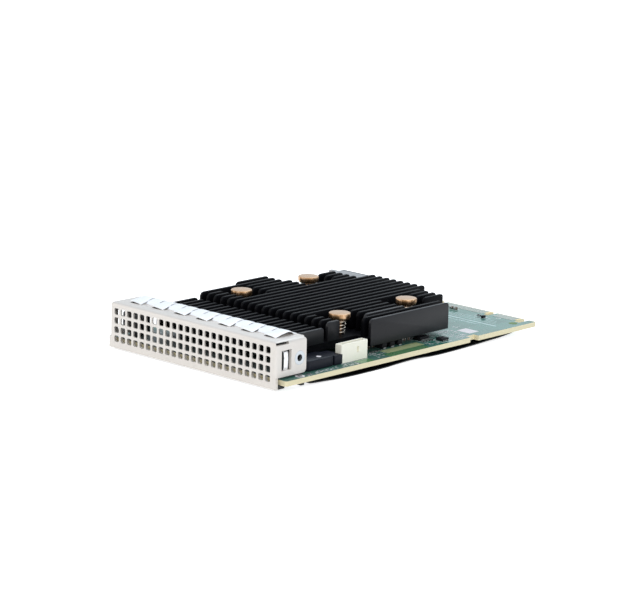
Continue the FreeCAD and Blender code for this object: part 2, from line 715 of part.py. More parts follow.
def cable_connector():
    """Shell, housing and contacts of the low cable connector, open to the rear."""
    shell = block(SHELL_LEFT, SHELL_RIGHT, SHELL_START, SHELL_END, BOARD_TOP, SHELL_TOP)
    inside = block(SHELL_LEFT + SHELL_SHEET, SHELL_RIGHT - SHELL_SHEET, SHELL_START + SHELL_SHEET,
                   SHELL_END + 1, BOARD_TOP - 1, SHELL_TOP - SHELL_SHEET)

    def long_top_edge(middle, direction):
        return middle.z > SHELL_TOP - 0.01 and abs(direction.y) > 0.9

    shell = rounded(shell, SHELL_CORNER, long_top_edge).cut(inside)
    left = SHELL_LEFT + SHELL_SHEET
    right = SHELL_RIGHT - SHELL_SHEET
    top = SHELL_TOP - SHELL_SHEET
    middle = (BOARD_TOP + top) / 2
    housing = block(left, right, SHELL_START + SHELL_SHEET, SHELL_END - HOUSING_INSET, BOARD_TOP, top)
    mouth = block(left + PLUG_GAP_MARGIN, right - PLUG_GAP_MARGIN, PLUG_GAP_START, SHELL_END + 1,
                  middle - PLUG_GAP_HEIGHT / 2, middle + PLUG_GAP_HEIGHT / 2)
    tongue_top = middle + TONGUE_THICKNESS / 2
    tongue = block(left + TONGUE_MARGIN, right - TONGUE_MARGIN, PLUG_GAP_START - TONGUE_ROOT,
                   SHELL_END - TONGUE_INSET, middle - TONGUE_THICKNESS / 2, tongue_top)
    housing = housing.cut(mouth).fuse(tongue).removeSplitter()
    wing = block(SHELL_LEFT - SHELL_WING, SHELL_LEFT, SHELL_START + WING_FRONT_INSET, SHELL_END - WING_REAR_INSET,
                 BOARD_TOP, SHELL_TOP - WING_DROP)
    wing = bevelled(wing, WING_CORNER)
    contacts = []
    middle_x = (left + right) / 2
    for i in range(CABLE_CONTACTS):
        x = middle_x + (i - (CABLE_CONTACTS - 1) / 2) * CABLE_CONTACT_PITCH
        contacts.append(block(x - CABLE_CONTACT_WIDTH / 2, x + CABLE_CONTACT_WIDTH / 2, PLUG_GAP_START,
                              SHELL_END - CABLE_CONTACT_INSET, tongue_top, tongue_top + CABLE_CONTACT_HEIGHT))
    return shell, housing, wing, group(contacts)


def insulator_sheet():
    """Thin sheet glued under the board by two hems, hanging from it in two lobes between them."""
    hem_front = INSULATOR_FRONT + FRONT_HEM
    hem_rear = INSULATOR_REAR - REAR_HEM
    path = [(hem_front, 0), (SHOULDER, SHOULDER_DROP), (FRONT_LOBE, FRONT_LOBE_DROP), (PINCH, PINCH_DROP),
            (REAR_LOBE, REAR_LOBE_DROP), (SLOPE, SLOPE_DROP), (hem_rear, 0)]

    def hung(drop):
        curve = Part.BSplineCurve()
        curve.interpolate([V(0, at(depth), BOARD_BOTTOM - sag - drop) for depth, sag in path])
        front = V(0, at(INSULATOR_FRONT), BOARD_BOTTOM - drop)
        rear = V(0, at(INSULATOR_REAR), BOARD_BOTTOM - drop)
        return front, rear, [Part.makeLine(front, curve.StartPoint), curve.toShape(),
                             Part.makeLine(curve.EndPoint, rear)]

    upper_front, upper_rear, upper = hung(0)
    lower_front, lower_rear, lower = hung(INSULATOR)
    ends = [Part.makeLine(upper_rear, lower_rear), Part.makeLine(upper_front, lower_front)]
    outline = Part.Wire(Part.__sortEdges__(upper + lower + ends))
    sheet = Part.Face(outline).extrude(V(2 * INSULATOR_HALF, 0, 0))
    sheet.translate(V(-INSULATOR_HALF, 0, 0))
    reach = BLOCK_SCREW_HEAD_RADIUS + NOTCH_CLEARANCE
    notch_inner = PLATE_HALF - SHEET - BLOCK_WIDTH / 2 - reach
    notch_end = (BLOCK_START + BLOCK_END) / 2 + reach
    notches = [block(side * notch_inner, side * (INSULATOR_HALF + 1), INSULATOR_FRONT - 1, notch_end,
                     BOARD_BOTTOM - FRONT_LOBE_DROP, BOARD_TOP) for side in (-1, 1)]
    rest = BOARD_BOTTOM - INSULATOR - REST_DROP
    below = block(-INSULATOR_HALF - 1, INSULATOR_HALF + 1, INSULATOR_FRONT, INSULATOR_REAR, rest - 1, rest)
    return sheet.cut(notches + [below])


def along(count, x, depth, step_x, step_depth, size):
    """Row of equal small parts on top of the board; size is width, length and height."""
    width, length, height = size
    parts = []
    for i in range(count):
        parts.append(chip(x + i * step_x, depth + i * step_depth, width, length, BOARD_TOP, height))
    return parts


def small_parts():
    """Small parts on the top of the board, each kind in one node."""
    capacitors = along(5, 26.0, 50.0, 0, 2.4, CERAMIC_SIZE) + along(3, 27.0, 63.4, 0, 2.0, CERAMIC_SIZE)
    capacitors += along(2, 8.0, 110.4, 1.6, 0, CERAMIC_SIZE)
    bulk = along(3, 28.9, 53.4, 0, 3.6, BULK_SIZE) + along(4, -33.0, 36.0, 0, 3.6, BULK_SIZE)
    resistors = along(4, 30.9, 46.0, 0, 1.5, RESISTOR_SIZE) + along(4, 32.4, 68.6, 0, 1.3, RESISTOR_SIZE)
    resistors += along(2, 19.9, 109.6, 1.0, -0.4, RESISTOR_SIZE) + along(6, -35.0, 68.0, 0, 2.0, RESISTOR_SIZE)
    chips = along(1, 34.4, 75.2, 0, 0, SQUARE_CHIP_SIZE) + along(1, 29.4, 71.0, 0, 0, MIDDLE_CHIP_SIZE)
    chips += along(1, 23.3, 108.1, 0, 0, REAR_CHIP_SIZE) + along(2, -34.0, 54.0, 0, 7.0, LEFT_CHIP_SIZE)
    inductors = along(5, -21.0, 20.0, 8.6, 0, INDUCTOR_SIZE)
    return group(capacitors), group(bulk), group(resistors), group(chips), group(inductors)


def bottom_capacitors():
    """Low capacitors under the controller."""
    width, length, height = UNDER_CAPACITOR_SIZE
    middle = (PIN_FRONT + PIN_REAR) / 2
    parts = []
    for row in range(UNDER_ROWS):
        for column in range(UNDER_COLUMNS):
            x = (column - (UNDER_COLUMNS - 1) / 2) * UNDER_PITCH_X
            depth = middle + (row - (UNDER_ROWS - 1) / 2) * UNDER_PITCH_Y
            parts.append(chip(x, depth, width, length, BOARD_BOTTOM - height, height))
    return group(parts)


def build():
    """All nodes by name."""
    nodes = {
        "circuit_board": circuit_board(),
        "edge_contacts_top": edge_contacts(BOARD_TOP, BOARD_TOP + CONTACT_THICKNESS),
        "edge_contacts_bottom": edge_contacts(BOARD_BOTTOM - CONTACT_THICKNESS, BOARD_BOTTOM),
        "faceplate": faceplate(),
        "gasket_finger_strip": gasket_finger_strip(),
        "side_leaf_right": side_leaf(),
        "side_leaf_left": mirrored(side_leaf()),
        "mounting_block_right": mounting_block(),
        "mounting_block_left": mirrored(mounting_block()),
        "mounting_block_screws": block_screws(),
        "front_gasket": front_gasket(),
        "heat_sink": heat_sink(),
        "moulded_choke": moulded_choke(),
        "regulator_package": regulator_package(),
        "insulator_sheet": insulator_sheet(),
        "ceramic_capacitors_bottom": bottom_capacitors(),
    }
    corners = [("front_left", -PIN_X, PIN_FRONT), ("front_right", PIN_X, PIN_FRONT),
               ("rear_left", -PIN_X, PIN_REAR), ("rear_right", PIN_X, PIN_REAR)]
    for name, x, depth in corners:
        nodes["retaining_pin_" + name] = retaining_pin(x, depth)
        nodes["pin_spring_" + name] = pin_spring(x, depth)
        nodes["pin_retainer_" + name] = pin_retainer(x, depth)
    substrate, lid, pad = controller()
    nodes["controller_substrate"] = substrate
    nodes["controller_lid"] = lid
    nodes["controller_thermal_pad"] = pad
    nodes["memory_packages"], nodes["memory_thermal_pads"] = memory()
    nodes["power_header_housing"], nodes["power_header_pins"] = power_header()
    shell, housing, wing, contacts = cable_connector()
    nodes["cable_connector_shell"] = shell
    nodes["cable_connector_housing"] = housing
    nodes["cable_connector_wing"] = wing
    nodes["cable_connector_contacts"] = contacts
    small = small_parts()
    names = ["ceramic_capacitors_top", "bulk_capacitors", "chip_resistors", "small_chips", "power_inductors"]
    for name, shape in zip(names, small):
        nodes[name] = shape
    return nodes


def main():
    """Lift the card onto its lowest point and write one file for each node."""
    os.makedirs("parts", exist_ok=True)
    nodes = build()
    lift = -nodes["insulator_sheet"].optimalBoundingBox(False, False).ZMin
    for name, shape in nodes.items():
        shape.translate(V(0, 0, lift))
        shape.exportStep("parts/" + name + ".step")


main()
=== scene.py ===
"""Looks of a slim server storage card: folded faceplate, finned heat sink, board and small parts."""

import json
import logging
import math
import random
from dataclasses import dataclass, field
from enum import Enum
from typing import Callable, Iterable, Optional, Sequence

import bmesh
import bpy
from mathutils import Matrix, Vector

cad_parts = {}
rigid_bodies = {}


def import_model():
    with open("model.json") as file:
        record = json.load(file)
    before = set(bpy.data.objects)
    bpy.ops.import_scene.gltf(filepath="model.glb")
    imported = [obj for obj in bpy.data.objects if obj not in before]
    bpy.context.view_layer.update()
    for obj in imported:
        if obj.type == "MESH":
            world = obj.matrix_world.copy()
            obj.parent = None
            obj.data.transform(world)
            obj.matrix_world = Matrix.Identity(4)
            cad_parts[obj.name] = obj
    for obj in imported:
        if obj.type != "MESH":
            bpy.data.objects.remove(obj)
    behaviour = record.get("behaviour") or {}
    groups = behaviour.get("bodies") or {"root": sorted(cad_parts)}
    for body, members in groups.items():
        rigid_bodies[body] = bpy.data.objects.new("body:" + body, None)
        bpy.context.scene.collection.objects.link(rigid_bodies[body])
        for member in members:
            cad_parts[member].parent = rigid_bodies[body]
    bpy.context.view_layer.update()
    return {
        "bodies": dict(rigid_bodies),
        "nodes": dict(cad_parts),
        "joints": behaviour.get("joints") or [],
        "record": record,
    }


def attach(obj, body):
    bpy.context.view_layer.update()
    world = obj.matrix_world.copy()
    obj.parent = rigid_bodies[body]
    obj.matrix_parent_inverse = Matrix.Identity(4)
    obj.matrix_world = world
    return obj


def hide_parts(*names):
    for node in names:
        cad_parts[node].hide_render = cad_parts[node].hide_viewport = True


MM = 0.001
HALF_LENGTH = 58.5
LIFT = 0.8
BOARD_TOP = 2.75
BOARD_BOTTOM = 1.18
FLANGE_TOP = 14.2
BASE_TOP = 7.7
PIN_X = 21.0
PAST = 1.0
TINY = 1e-6
SHARP_FOLD = 0.6
EDGE_ANGLE = 50
BROAD_PATCH = 14
FINE_SHARE = 0.6
TONE_RANGE = (0.32, 0.68)
GLOSS_RANGE = (0.3, 0.7)
WHITE = (1.0, 1.0, 1.0)
LOG = logging.getLogger("card")

Point = tuple[float, float, float]
Colour = tuple[float, float, float]
Pair = tuple[float, float]
Area = tuple[float, float, float, float]
Outline = Sequence[Pair]


class Side(Enum):
    """Left or right of the card, seen from the faceplate."""

    LEFT = -1
    RIGHT = 1


class Axis(Enum):
    """Direction that a flat outline is drawn out along."""

    X = "x"
    Y = "y"
    Z = "z"


class PinRow(Enum):
    """Pair of pins that hold the heat sink, with its depth behind the faceplate."""

    FRONT = 42.6
    REAR = 73.0


def place(x: float, depth: float, z: float) -> Vector:
    """Point of the frame in metres.

    Args:
        x: millimetres to the right of the middle.
        depth: millimetres behind the front of the faceplate.
        z: millimetres above the lower edge of the faceplate.

    Returns:
        The point.
    """
    return Vector((x * MM, (depth - HALF_LENGTH) * MM, (z + LIFT) * MM))


def arc(centre: Pair, radius: float, start: float, end: float, steps: int) -> list[Pair]:
    """Points along a circular arc.

    Args:
        centre: middle of the circle.
        radius: its radius.
        start: first angle in degrees.
        end: last angle in degrees.
        steps: number of chords.

    Returns:
        The points, both ends included.
    """
    points = []
    for step in range(steps + 1):
        angle = math.radians(start + (end - start) * step / steps)
        points.append((centre[0] + radius * math.cos(angle), centre[1] + radius * math.sin(angle)))
    return points


def even(start: float, end: float, count: int) -> list[float]:
    """Values at equal steps from one to another, both included."""
    return [start + (end - start) * i / count for i in range(count + 1)]


def rounded_square(size: float, corner: float, steps: int) -> list[Pair]:
    """Outline of a square with rounded corners, about its middle.

    Args:
        size: side of the square.
        corner: radius of its corners.
        steps: chords in each corner.

    Returns:
        The outline, counter-clockwise.
    """
    inner = size / 2 - corner
    points: list[Pair] = []
    for quarter, (sx, sy) in enumerate([(1, 1), (-1, 1), (-1, -1), (1, -1)]):
        points += arc((sx * inner, sy * inner), corner, 90 * quarter, 90 * quarter + 90, steps)
    return points


class Form:
    """Collects the faces of one piece; sizes are millimetres and depths behind the faceplate."""

    def __init__(self) -> None:
        """Start with no faces and the first material."""
        self.mesh = bmesh.new()
        self.material = 0

    def face(self, corners: Sequence[bmesh.types.BMVert]) -> Optional[bmesh.types.BMFace]:
        """Add a face in the current material, unless it is there already."""
        try:
            made = self.mesh.faces.new(corners)
        except ValueError:
            return None
        made.material_index = self.material
        return made

    def soften(self, verts: Iterable[bmesh.types.BMVert], width: float, steps: int,
               wanted: Optional[Callable[[Vector, Vector], bool]] = None) -> None:
        """Bevel the edges between the given vertices.

        Args:
            verts: vertices of the shape.
            width: width of the bevel.
            steps: its segments.
            wanted: test on the two ends of an edge; all sharp edges when left out.
        """
        members = set(verts)
        edges = []
        for edge in {e for v in members for e in v.link_edges}:
            if len(edge.link_faces) == 2 and edge.calc_face_angle(0) < SHARP_FOLD:
                continue
            if wanted is None or wanted(edge.verts[0].co, edge.verts[1].co):
                edges.append(edge)
        made = bmesh.ops.bevel(self.mesh, geom=edges, offset=width * MM, offset_type="OFFSET", segments=steps,
                               profile=0.5, affect="EDGES", clamp_overlap=True)
        for new_face in made["faces"]:
            new_face.material_index = self.material

    def drawn(self, outline: Outline, axis: Axis, low: float, high: float, soft: float = 0.0,
              steps: int = 2) -> None:
        """Draw a flat outline out into a prism.

        Args:
            outline: (depth, z) for X, (x, z) for Y and (x, depth) for Z.
            axis: direction of the draw.
            low: where the prism starts along it.
            high: where it ends.
            soft: width of the bevel on its edges.
            steps: segments of that bevel.
        """
        rings = []
        for level in (low, high):
            ring = []
            for a, b in outline:
                point = {Axis.X: (level, a, b), Axis.Y: (a, level, b), Axis.Z: (a, b, level)}[axis]
                ring.append(self.mesh.verts.new(place(*point)))
            rings.append(ring)
        count = len(outline)
        faces = [self.face(rings[0]), self.face(rings[1][::-1])]
        for i in range(count):
            j = (i + 1) % count
            faces.append(self.face((rings[0][i], rings[0][j], rings[1][j], rings[1][i])))
        bmesh.ops.recalc_face_normals(self.mesh, faces=[f for f in faces if f])
        if soft:
            self.soften(rings[0] + rings[1], soft, steps)

    def block(self, x0: float, x1: float, depth0: float, depth1: float, z0: float, z1: float,
              soft: float = 0.0, steps: int = 2) -> None:
        """Add a rectangular block between two corners, with bevelled edges where soft is given."""
        self.drawn([(x0, depth0), (x1, depth0), (x1, depth1), (x0, depth1)], Axis.Z, z0, z1, soft, steps)

    def beside(self, side: Side, inner: float, outer: float, *area: float) -> None:
        """Add a block at one side of the card, between two distances from its middle."""
        left, right = sorted((side.value * inner, side.value * outer))
        self.block(left, right, *area)

    def chip(self, x: float, depth: float, width: float, length: float, z0: float, height: float,
             soft: float) -> None:
        """Add a block centred on a place."""
        self.block(x - width / 2, x + width / 2, depth - length / 2, depth + length / 2, z0, z0 + height,
                   soft)

    def turned(self, profile: Outline, x: float, depth: float, sides: int) -> None:
        """Turn a (radius, height) profile about an upright axis.

        Args:
            profile: from the axis at one end to the axis at the other.
            x: place of the axis.
            depth: place of the axis.
            sides: facets round it.
        """
        rings = []
        for radius, z in profile:
            if radius <= 0:
                rings.append([self.mesh.verts.new(place(x, depth, z))])
                continue
            ring = []
            for side in range(sides):
                angle = 2 * math.pi * side / sides
                across, along = radius * math.cos(angle), radius * math.sin(angle)
                ring.append(self.mesh.verts.new(place(x + across, depth + along, z)))
            rings.append(ring)
        for low, high in zip(rings, rings[1:]):
            for side in range(sides):
                nxt = (side + 1) % sides
                if len(low) == 1:
                    self.face((low[0], high[side], high[nxt]))
                elif len(high) == 1:
                    self.face((low[side], high[0], low[nxt]))
                else:
                    self.face((low[side], high[side], high[nxt], low[nxt]))

    def tube(self, path: Sequence[Vector], radius: float, sides: int) -> None:
        """Round bar along a path.

        Args:
            path: points of its middle line, in metres.
            radius: of the bar, in millimetres.
            sides: facets round it.
        """
        rings = []
        up = Vector((0, 0, 1))
        for i, point in enumerate(path):
            before = path[max(i - 1, 0)]
            after = path[min(i + 1, len(path) - 1)]
            along = (after - before).normalized()
            side_way = along.cross(up).normalized()
            lift = side_way.cross(along).normalized()
            ring = []
            for side in range(sides):
                angle = 2 * math.pi * side / sides
                offset = side_way * math.cos(angle) + lift * math.sin(angle)
                ring.append(self.mesh.verts.new(point + offset * radius * MM))
            rings.append(ring)
        for low, high in zip(rings, rings[1:]):
            for side in range(sides):
                nxt = (side + 1) % sides
                self.face((low[side], low[nxt], high[nxt], high[side]))
        self.face(rings[0][::-1])
        self.face(rings[-1])

    def piece(self, name: str, finishes: Sequence["Finish"], smooth: float = 35.0) -> bpy.types.Object:
        """Turn the faces into an object.

        Args:
            name: name of the piece.
            finishes: finishes in the order of the material numbers.
            smooth: angle in degrees below which edges are shaded smooth.

        Returns:
            The object, in the scene.
        """
        bmesh.ops.recalc_face_normals(self.mesh, faces=self.mesh.faces[:])
        data = bpy.data.meshes.new(name)
        self.mesh.to_mesh(data)
        self.mesh.free()
        for finish in finishes:
            data.materials.append(finish.material())
        data.shade_smooth()
        data.set_sharp_from_angle(angle=math.radians(smooth))
        made = bpy.data.objects.new(name, data)
        bpy.context.scene.collection.objects.link(made)
        return made


def fitted(piece: bpy.types.Object, slot: str, *nodes: str) -> None:
    """Fix a piece to the card and hide the nodes that it replaces.

    Args:
        piece: the object.
        slot: material slot of the record; not used.
        nodes: nodes that it replaces.
    """
    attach(piece, "root")
    if nodes:
        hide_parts(*nodes)
    LOG.info("%s: %d faces", piece.name, len(piece.data.polygons))


def tool(*sides: float) -> bpy.types.Object:
    """Plain block between two corners, which cuts another piece or joins it."""
    form = Form()
    form.block(*sides)
    return form.piece("tool", [])


def carved(body: bpy.types.Object, cutter: bpy.types.Object,
           operation: str = "DIFFERENCE") -> bpy.types.Object:
    """Take a cutter's solids out of a body, or join them to it.

    Args:
        body: object that is cut.
        cutter: object that is used up.
        operation: DIFFERENCE or UNION.

    Returns:
        The body with its new mesh.
    """
    cut = body.modifiers.new("cut", "BOOLEAN")
    cut.operation = operation
    cut.solver = "EXACT"
    cut.object = cutter
    graph = bpy.context.evaluated_depsgraph_get()
    mesh = bpy.data.meshes.new_from_object(body.evaluated_get(graph))
    body.modifiers.clear()
    body.data = mesh
    bpy.data.objects.remove(cutter)
    return body


def crisp(piece: bpy.types.Object, angle: float, bevel: float) -> None:
    """Shade a cut piece smooth between its sharp edges and break those edges.

    Args:
        piece: the object.
        angle: degrees from which an edge is sharp.
        bevel: width of the broken edges in millimetres.
    """
    piece.data.shade_smooth()
    piece.data.set_sharp_from_angle(angle=math.radians(angle))
    edge = piece.modifiers.new("edges", "BEVEL")
    edge.width = bevel * MM
    edge.segments = 1
    edge.limit_method = "ANGLE"
    edge.angle_limit = math.radians(EDGE_ANGLE)
    edge.harden_normals = True


class Tree:
    """Node tree with short calls for the nodes that the finishes and the surroundings use."""

    def __init__(self, tree: bpy.types.NodeTree) -> None:
        """Work on one node tree."""
        self.tree = tree
        self.coordinates = self.put("ShaderNodeTexCoord").outputs
        self.where = self.coordinates["Object"]

    def put(self, kind: str, **values: object) -> bpy.types.Node:
        """Add a node and set its properties."""
        node = self.tree.nodes.new(kind)
        for key, value in values.items():
            setattr(node, key, value)
        return node

    def link(self, out: bpy.types.NodeSocket, into: bpy.types.NodeSocket) -> None:
        """Join two sockets."""
        self.tree.links.new(out, into)

    def give(self, value: object, into: bpy.types.NodeSocket) -> None:
        """Set a socket to a number or colour, or link another socket to it."""
        if isinstance(value, (int, float)):
            into.default_value = value
        elif isinstance(value, tuple):
            into.default_value = (*value, 1.0)
        else:
            self.link(value, into)

    def scaled(self, stretch: Point) -> bpy.types.NodeSocket:
        """Object coordinates stretched along the three axes."""
        mapping = self.put("ShaderNodeMapping")
        mapping.inputs["Scale"].default_value = stretch
        self.link(self.where, mapping.inputs["Vector"])
        return mapping.outputs["Vector"]

    def noise(self, scale: float, detail: float = 3.0, stretch: Point = (1, 1, 1)) -> bpy.types.NodeSocket:
        """Grey noise.

        Args:
            scale: cells per metre.
            detail: octaves.
            stretch: factors along the axes.

        Returns:
            Its value from 0 to 1.
        """
        node = self.put("ShaderNodeTexNoise")
        node.inputs["Scale"].default_value = scale
        node.inputs["Detail"].default_value = detail
        self.link(self.scaled(stretch), node.inputs["Vector"])
        return node.outputs["Fac"]

    def spots(self, scale: float, low: float, high: float) -> bpy.types.NodeSocket:
        """Round spots: 1 in their middle and 0 between them.

        Args:
            scale: cells per metre.
            low: distance at which a spot is full.
            high: distance at which it ends.

        Returns:
            Its value.
        """
        node = self.put("ShaderNodeTexVoronoi", feature="F1")
        node.inputs["Scale"].default_value = scale
        self.link(self.where, node.inputs["Vector"])
        return self.spread(node.outputs["Distance"], low, high, 1.0, 0.0)

    def spread(self, value: bpy.types.NodeSocket, low: float, high: float, out_low: float = 0.0,
               out_high: float = 1.0) -> bpy.types.NodeSocket:
        """Map one range of a value to another, clamped."""
        node = self.put("ShaderNodeMapRange")
        ranges = ("From Min", "From Max", "To Min", "To Max")
        for key, number in zip(ranges, (low, high, out_low, out_high)):
            node.inputs[key].default_value = number
        self.link(value, node.inputs["Value"])
        return node.outputs["Result"]

    def math(self, operation: str, a: bpy.types.NodeSocket, b: object = 0.0) -> bpy.types.NodeSocket:
        """Arithmetic on one or two values, of which the second may be a number."""
        node = self.put("ShaderNodeMath", operation=operation)
        self.link(a, node.inputs[0])
        self.give(b, node.inputs[1])
        return node.outputs[0]

    def mix(self, amount: object, a: object, b: object, blend: str = "MIX") -> bpy.types.NodeSocket:
        """Blend two colours, each a socket or three numbers, by a socket or number."""
        node = self.put("ShaderNodeMix", data_type="RGBA", blend_type=blend)
        self.give(amount, node.inputs[0])
        self.give(a, node.inputs[6])
        self.give(b, node.inputs[7])
        return node.outputs[2]

    def split(self, value: bpy.types.NodeSocket) -> Sequence[bpy.types.NodeSocket]:
        """X, Y and Z of a vector."""
        node = self.put("ShaderNodeSeparateXYZ")
        self.link(value, node.inputs[0])
        return node.outputs

    def up(self) -> bpy.types.NodeSocket:
        """1 on faces that look up or down and 0 on upright ones."""
        normal = self.put("ShaderNodeNewGeometry").outputs["Normal"]
        return self.math("ABSOLUTE", self.split(normal)[2])


class Sheet(Tree):
    """Node tree of one material."""

    def __init__(self, name: str) -> None:
        """Make an empty node material with a surface shader."""
        self.material = bpy.data.materials.new(name)
        self.material.use_nodes = True
        super().__init__(self.material.node_tree)
        self.shader = self.tree.nodes["Principled BSDF"]

    def feed(self, name: str, out: bpy.types.NodeSocket) -> None:
        """Link a socket to an input of the surface shader."""
        self.link(out, self.shader.inputs[name])

    def bump(self, height: bpy.types.NodeSocket, depth: float) -> None:
        """Raise the surface by a value.

        Args:
            height: the value from 0 to 1.
            depth: metres at 1.
        """
        node = self.put("ShaderNodeBump")
        node.inputs["Distance"].default_value = depth
        self.link(height, node.inputs["Height"])
        self.feed("Normal", node.outputs["Normal"])

    def set(self, **values: object) -> None:
        """Set numbers on the surface shader; underscores in a name stand for spaces."""
        for key, value in values.items():
            self.shader.inputs[key.replace("_", " ")].default_value = value


@dataclass(frozen=True)
class Finish:
    """Surface with a slightly uneven colour, gloss and height."""

    name: str
    colour: Colour
    metallic: float = 0.0
    roughness: float = 0.4
    shade: float = 0.12
    gloss_spread: float = 0.06
    grain: float = 900.0
    relief: float = 0.00001
    specular: float = 0.5

    def material(self) -> bpy.types.Material:
        """The material, made on its first use."""
        known = bpy.data.materials.get(self.name)
        if known:
            return known
        sheet = Sheet(self.name)
        self.dress(sheet)
        return sheet.material

    def gloss(self, sheet: Sheet, value: bpy.types.NodeSocket, spread: float) -> bpy.types.NodeSocket:
        """Roughness that follows a noise.

        Args:
            sheet: node tree of the material.
            value: the noise.
            spread: largest difference from the finish's own roughness.

        Returns:
            The roughness.
        """
        return sheet.spread(value, *GLOSS_RANGE, self.roughness - spread, self.roughness + spread)

    def tone(self, sheet: Sheet, value: bpy.types.NodeSocket) -> bpy.types.NodeSocket:
        """Colour that wanders between a darker and a lighter shade.

        Args:
            sheet: node tree of the material.
            value: noise that the colour follows.

        Returns:
            The colour.
        """
        dark = tuple(c * (1 - self.shade) for c in self.colour)
        light = tuple(min(c * (1 + self.shade), 1.0) for c in self.colour)
        return sheet.mix(sheet.spread(value, *TONE_RANGE), dark, light)

    def dress(self, sheet: Sheet) -> None:
        """Fill in the node tree.

        Args:
            sheet: node tree of the material.
        """
        fine = sheet.noise(self.grain, 4.0)
        broad = sheet.noise(self.grain / BROAD_PATCH, 2.0)
        both = sheet.math("ADD", sheet.math("MULTIPLY", fine, FINE_SHARE),
                          sheet.math("MULTIPLY", broad, 1 - FINE_SHARE))
        sheet.feed("Base Color", self.tone(sheet, both))
        sheet.feed("Roughness", self.gloss(sheet, both, self.gloss_spread))
        sheet.set(Metallic=self.metallic, Specular_IOR_Level=self.specular)
        sheet.bump(fine, self.relief)


@dataclass(frozen=True)
class SolderMask(Finish):
    """Glossy green mask over copper, with the pale laminate showing at the board's edges, and painted shade
    over the front of the board.

    Zones are ranges in metres along the card, or across it from its middle.
    """

    copper: Colour = (0.09, 0.29, 0.24)
    via: Colour = (0.1, 0.26, 0.2)
    # front_shade and sink_shade are painted shade: the mask darkens over the front of the board, most behind
    # the faceplate
    front_shade: Colour = (0.008, 0.065, 0.042)
    sink_shade: Colour = (0.04, 0.042, 0.038)
    laminate: Colour = (0.86, 0.79, 0.55)
    ply: Colour = (0.5, 0.42, 0.2)
    fibre: Colour = (0.86, 0.78, 0.52)
    plane_grain: float = 110.0
    plane_edge: Pair = (0.45, 0.52)
    plane_cover: float = 0.45
    tracks_per_metre: float = 900.0
    track_edge: Pair = (0.16, 0.22)
    patch_grain: float = 45.0
    patch_stretch: Point = (1.0, 0.3, 1.0)
    patch_edge: Pair = (0.5, 0.56)
    track_cover: float = 0.7
    via_grid: float = 430.0
    via_edge: Pair = (0.10, 0.14)
    via_cover: float = 0.25
    plies_per_metre: float = 3800.0
    ply_cover: float = 0.35
    fibre_grain: float = 1800.0
    fibre_stretch: Point = (1, 1, 0.2)
    fibre_cover: float = 0.5
    front_zone: Pair = (-0.012, 0.02)
    shade_zone: Pair = (-0.045, -0.036)
    shade_wide: Pair = (0.0337, 0.0343)
    chamfer: Pair = (0.05775, 0.0579)
    side_turn: Pair = (0.4, 0.6)
    front_cover: float = 0.75
    shade_cover: float = 0.85
    front_dull: float = 0.3
    edge_dull: float = 0.55
    gloss_grain: float = 700.0

    def under_mask(self, sheet: Sheet, x: bpy.types.NodeSocket) -> bpy.types.NodeSocket:
        """How much copper lies under a spot: broad planes, and rows of tracks that come and go."""
        planes = sheet.spread(sheet.noise(self.plane_grain, 2.0), *self.plane_edge)
        across = sheet.math("FRACT", sheet.math("MULTIPLY", x, self.tracks_per_metre))
        from_track = sheet.math("ABSOLUTE", sheet.math("SUBTRACT", across, 0.5))
        tracks = sheet.spread(from_track, *self.track_edge, 1.0, 0.0)
        patches = sheet.spread(sheet.noise(self.patch_grain, 2.0, self.patch_stretch), *self.patch_edge)
        some_tracks = sheet.math("MULTIPLY", tracks, sheet.math("MULTIPLY", patches, self.track_cover))
        return sheet.math("MAXIMUM", sheet.math("MULTIPLY", planes, self.plane_cover), some_tracks)

    def cut_edge(self, sheet: Sheet, z: bpy.types.NodeSocket) -> bpy.types.NodeSocket:
        """Colour of the board's side: plies and fibres."""
        layers = sheet.math("FRACT", sheet.math("MULTIPLY", z, self.plies_per_metre))
        plies = sheet.mix(sheet.spread(layers, 0.0, 1.0, 0.0, self.ply_cover), self.laminate, self.ply)
        fibre = sheet.noise(self.fibre_grain, stretch=self.fibre_stretch)
        fibres = sheet.math("MULTIPLY", fibre, self.fibre_cover)
        return sheet.mix(fibres, plies, self.fibre)

    def dress(self, sheet: Sheet) -> None:
        """Fill in the node tree: mask, faint copper underneath, vias, painted shade at the front and the cut
        edge.
        """
        x, y, z = sheet.split(sheet.where)
        copper = self.under_mask(sheet, x)
        mask = sheet.mix(copper, self.colour, self.copper)
        vias = sheet.math("MULTIPLY", sheet.spots(self.via_grid, *self.via_edge), self.via_cover)
        mask = sheet.mix(vias, mask, self.via)
        # painted shade: darker towards the front of the board, and darker still behind the faceplate and
        # under the front of the heat sink
        mask = sheet.mix(sheet.spread(y, *self.front_zone, self.front_cover, 0.0), mask, self.front_shade)
        inside = sheet.spread(sheet.math("ABSOLUTE", x), *self.shade_wide, self.shade_cover, 0.0)
        hidden = sheet.math("MULTIPLY", inside, sheet.spread(y, *self.shade_zone, 1.0, 0.0))
        mask = sheet.mix(hidden, mask, self.sink_shade)
        mask = sheet.mix(sheet.spread(y, *self.chamfer), mask, self.laminate)
        flat = sheet.spread(sheet.up(), *self.side_turn)
        sheet.feed("Base Color", sheet.mix(flat, self.cut_edge(sheet, z), mask))
        gloss = self.gloss(sheet, sheet.noise(self.gloss_grain, 2.0), self.gloss_spread)
        dull = sheet.spread(flat, 0.0, 1.0, self.edge_dull, 0.0)
        matt = sheet.spread(y, *self.front_zone, self.front_dull, 0.0)
        sheet.feed("Roughness", sheet.math("ADD", sheet.math("ADD", gloss, dull), matt))
        sheet.set(Specular_IOR_Level=self.specular)
        sheet.bump(copper, self.relief)


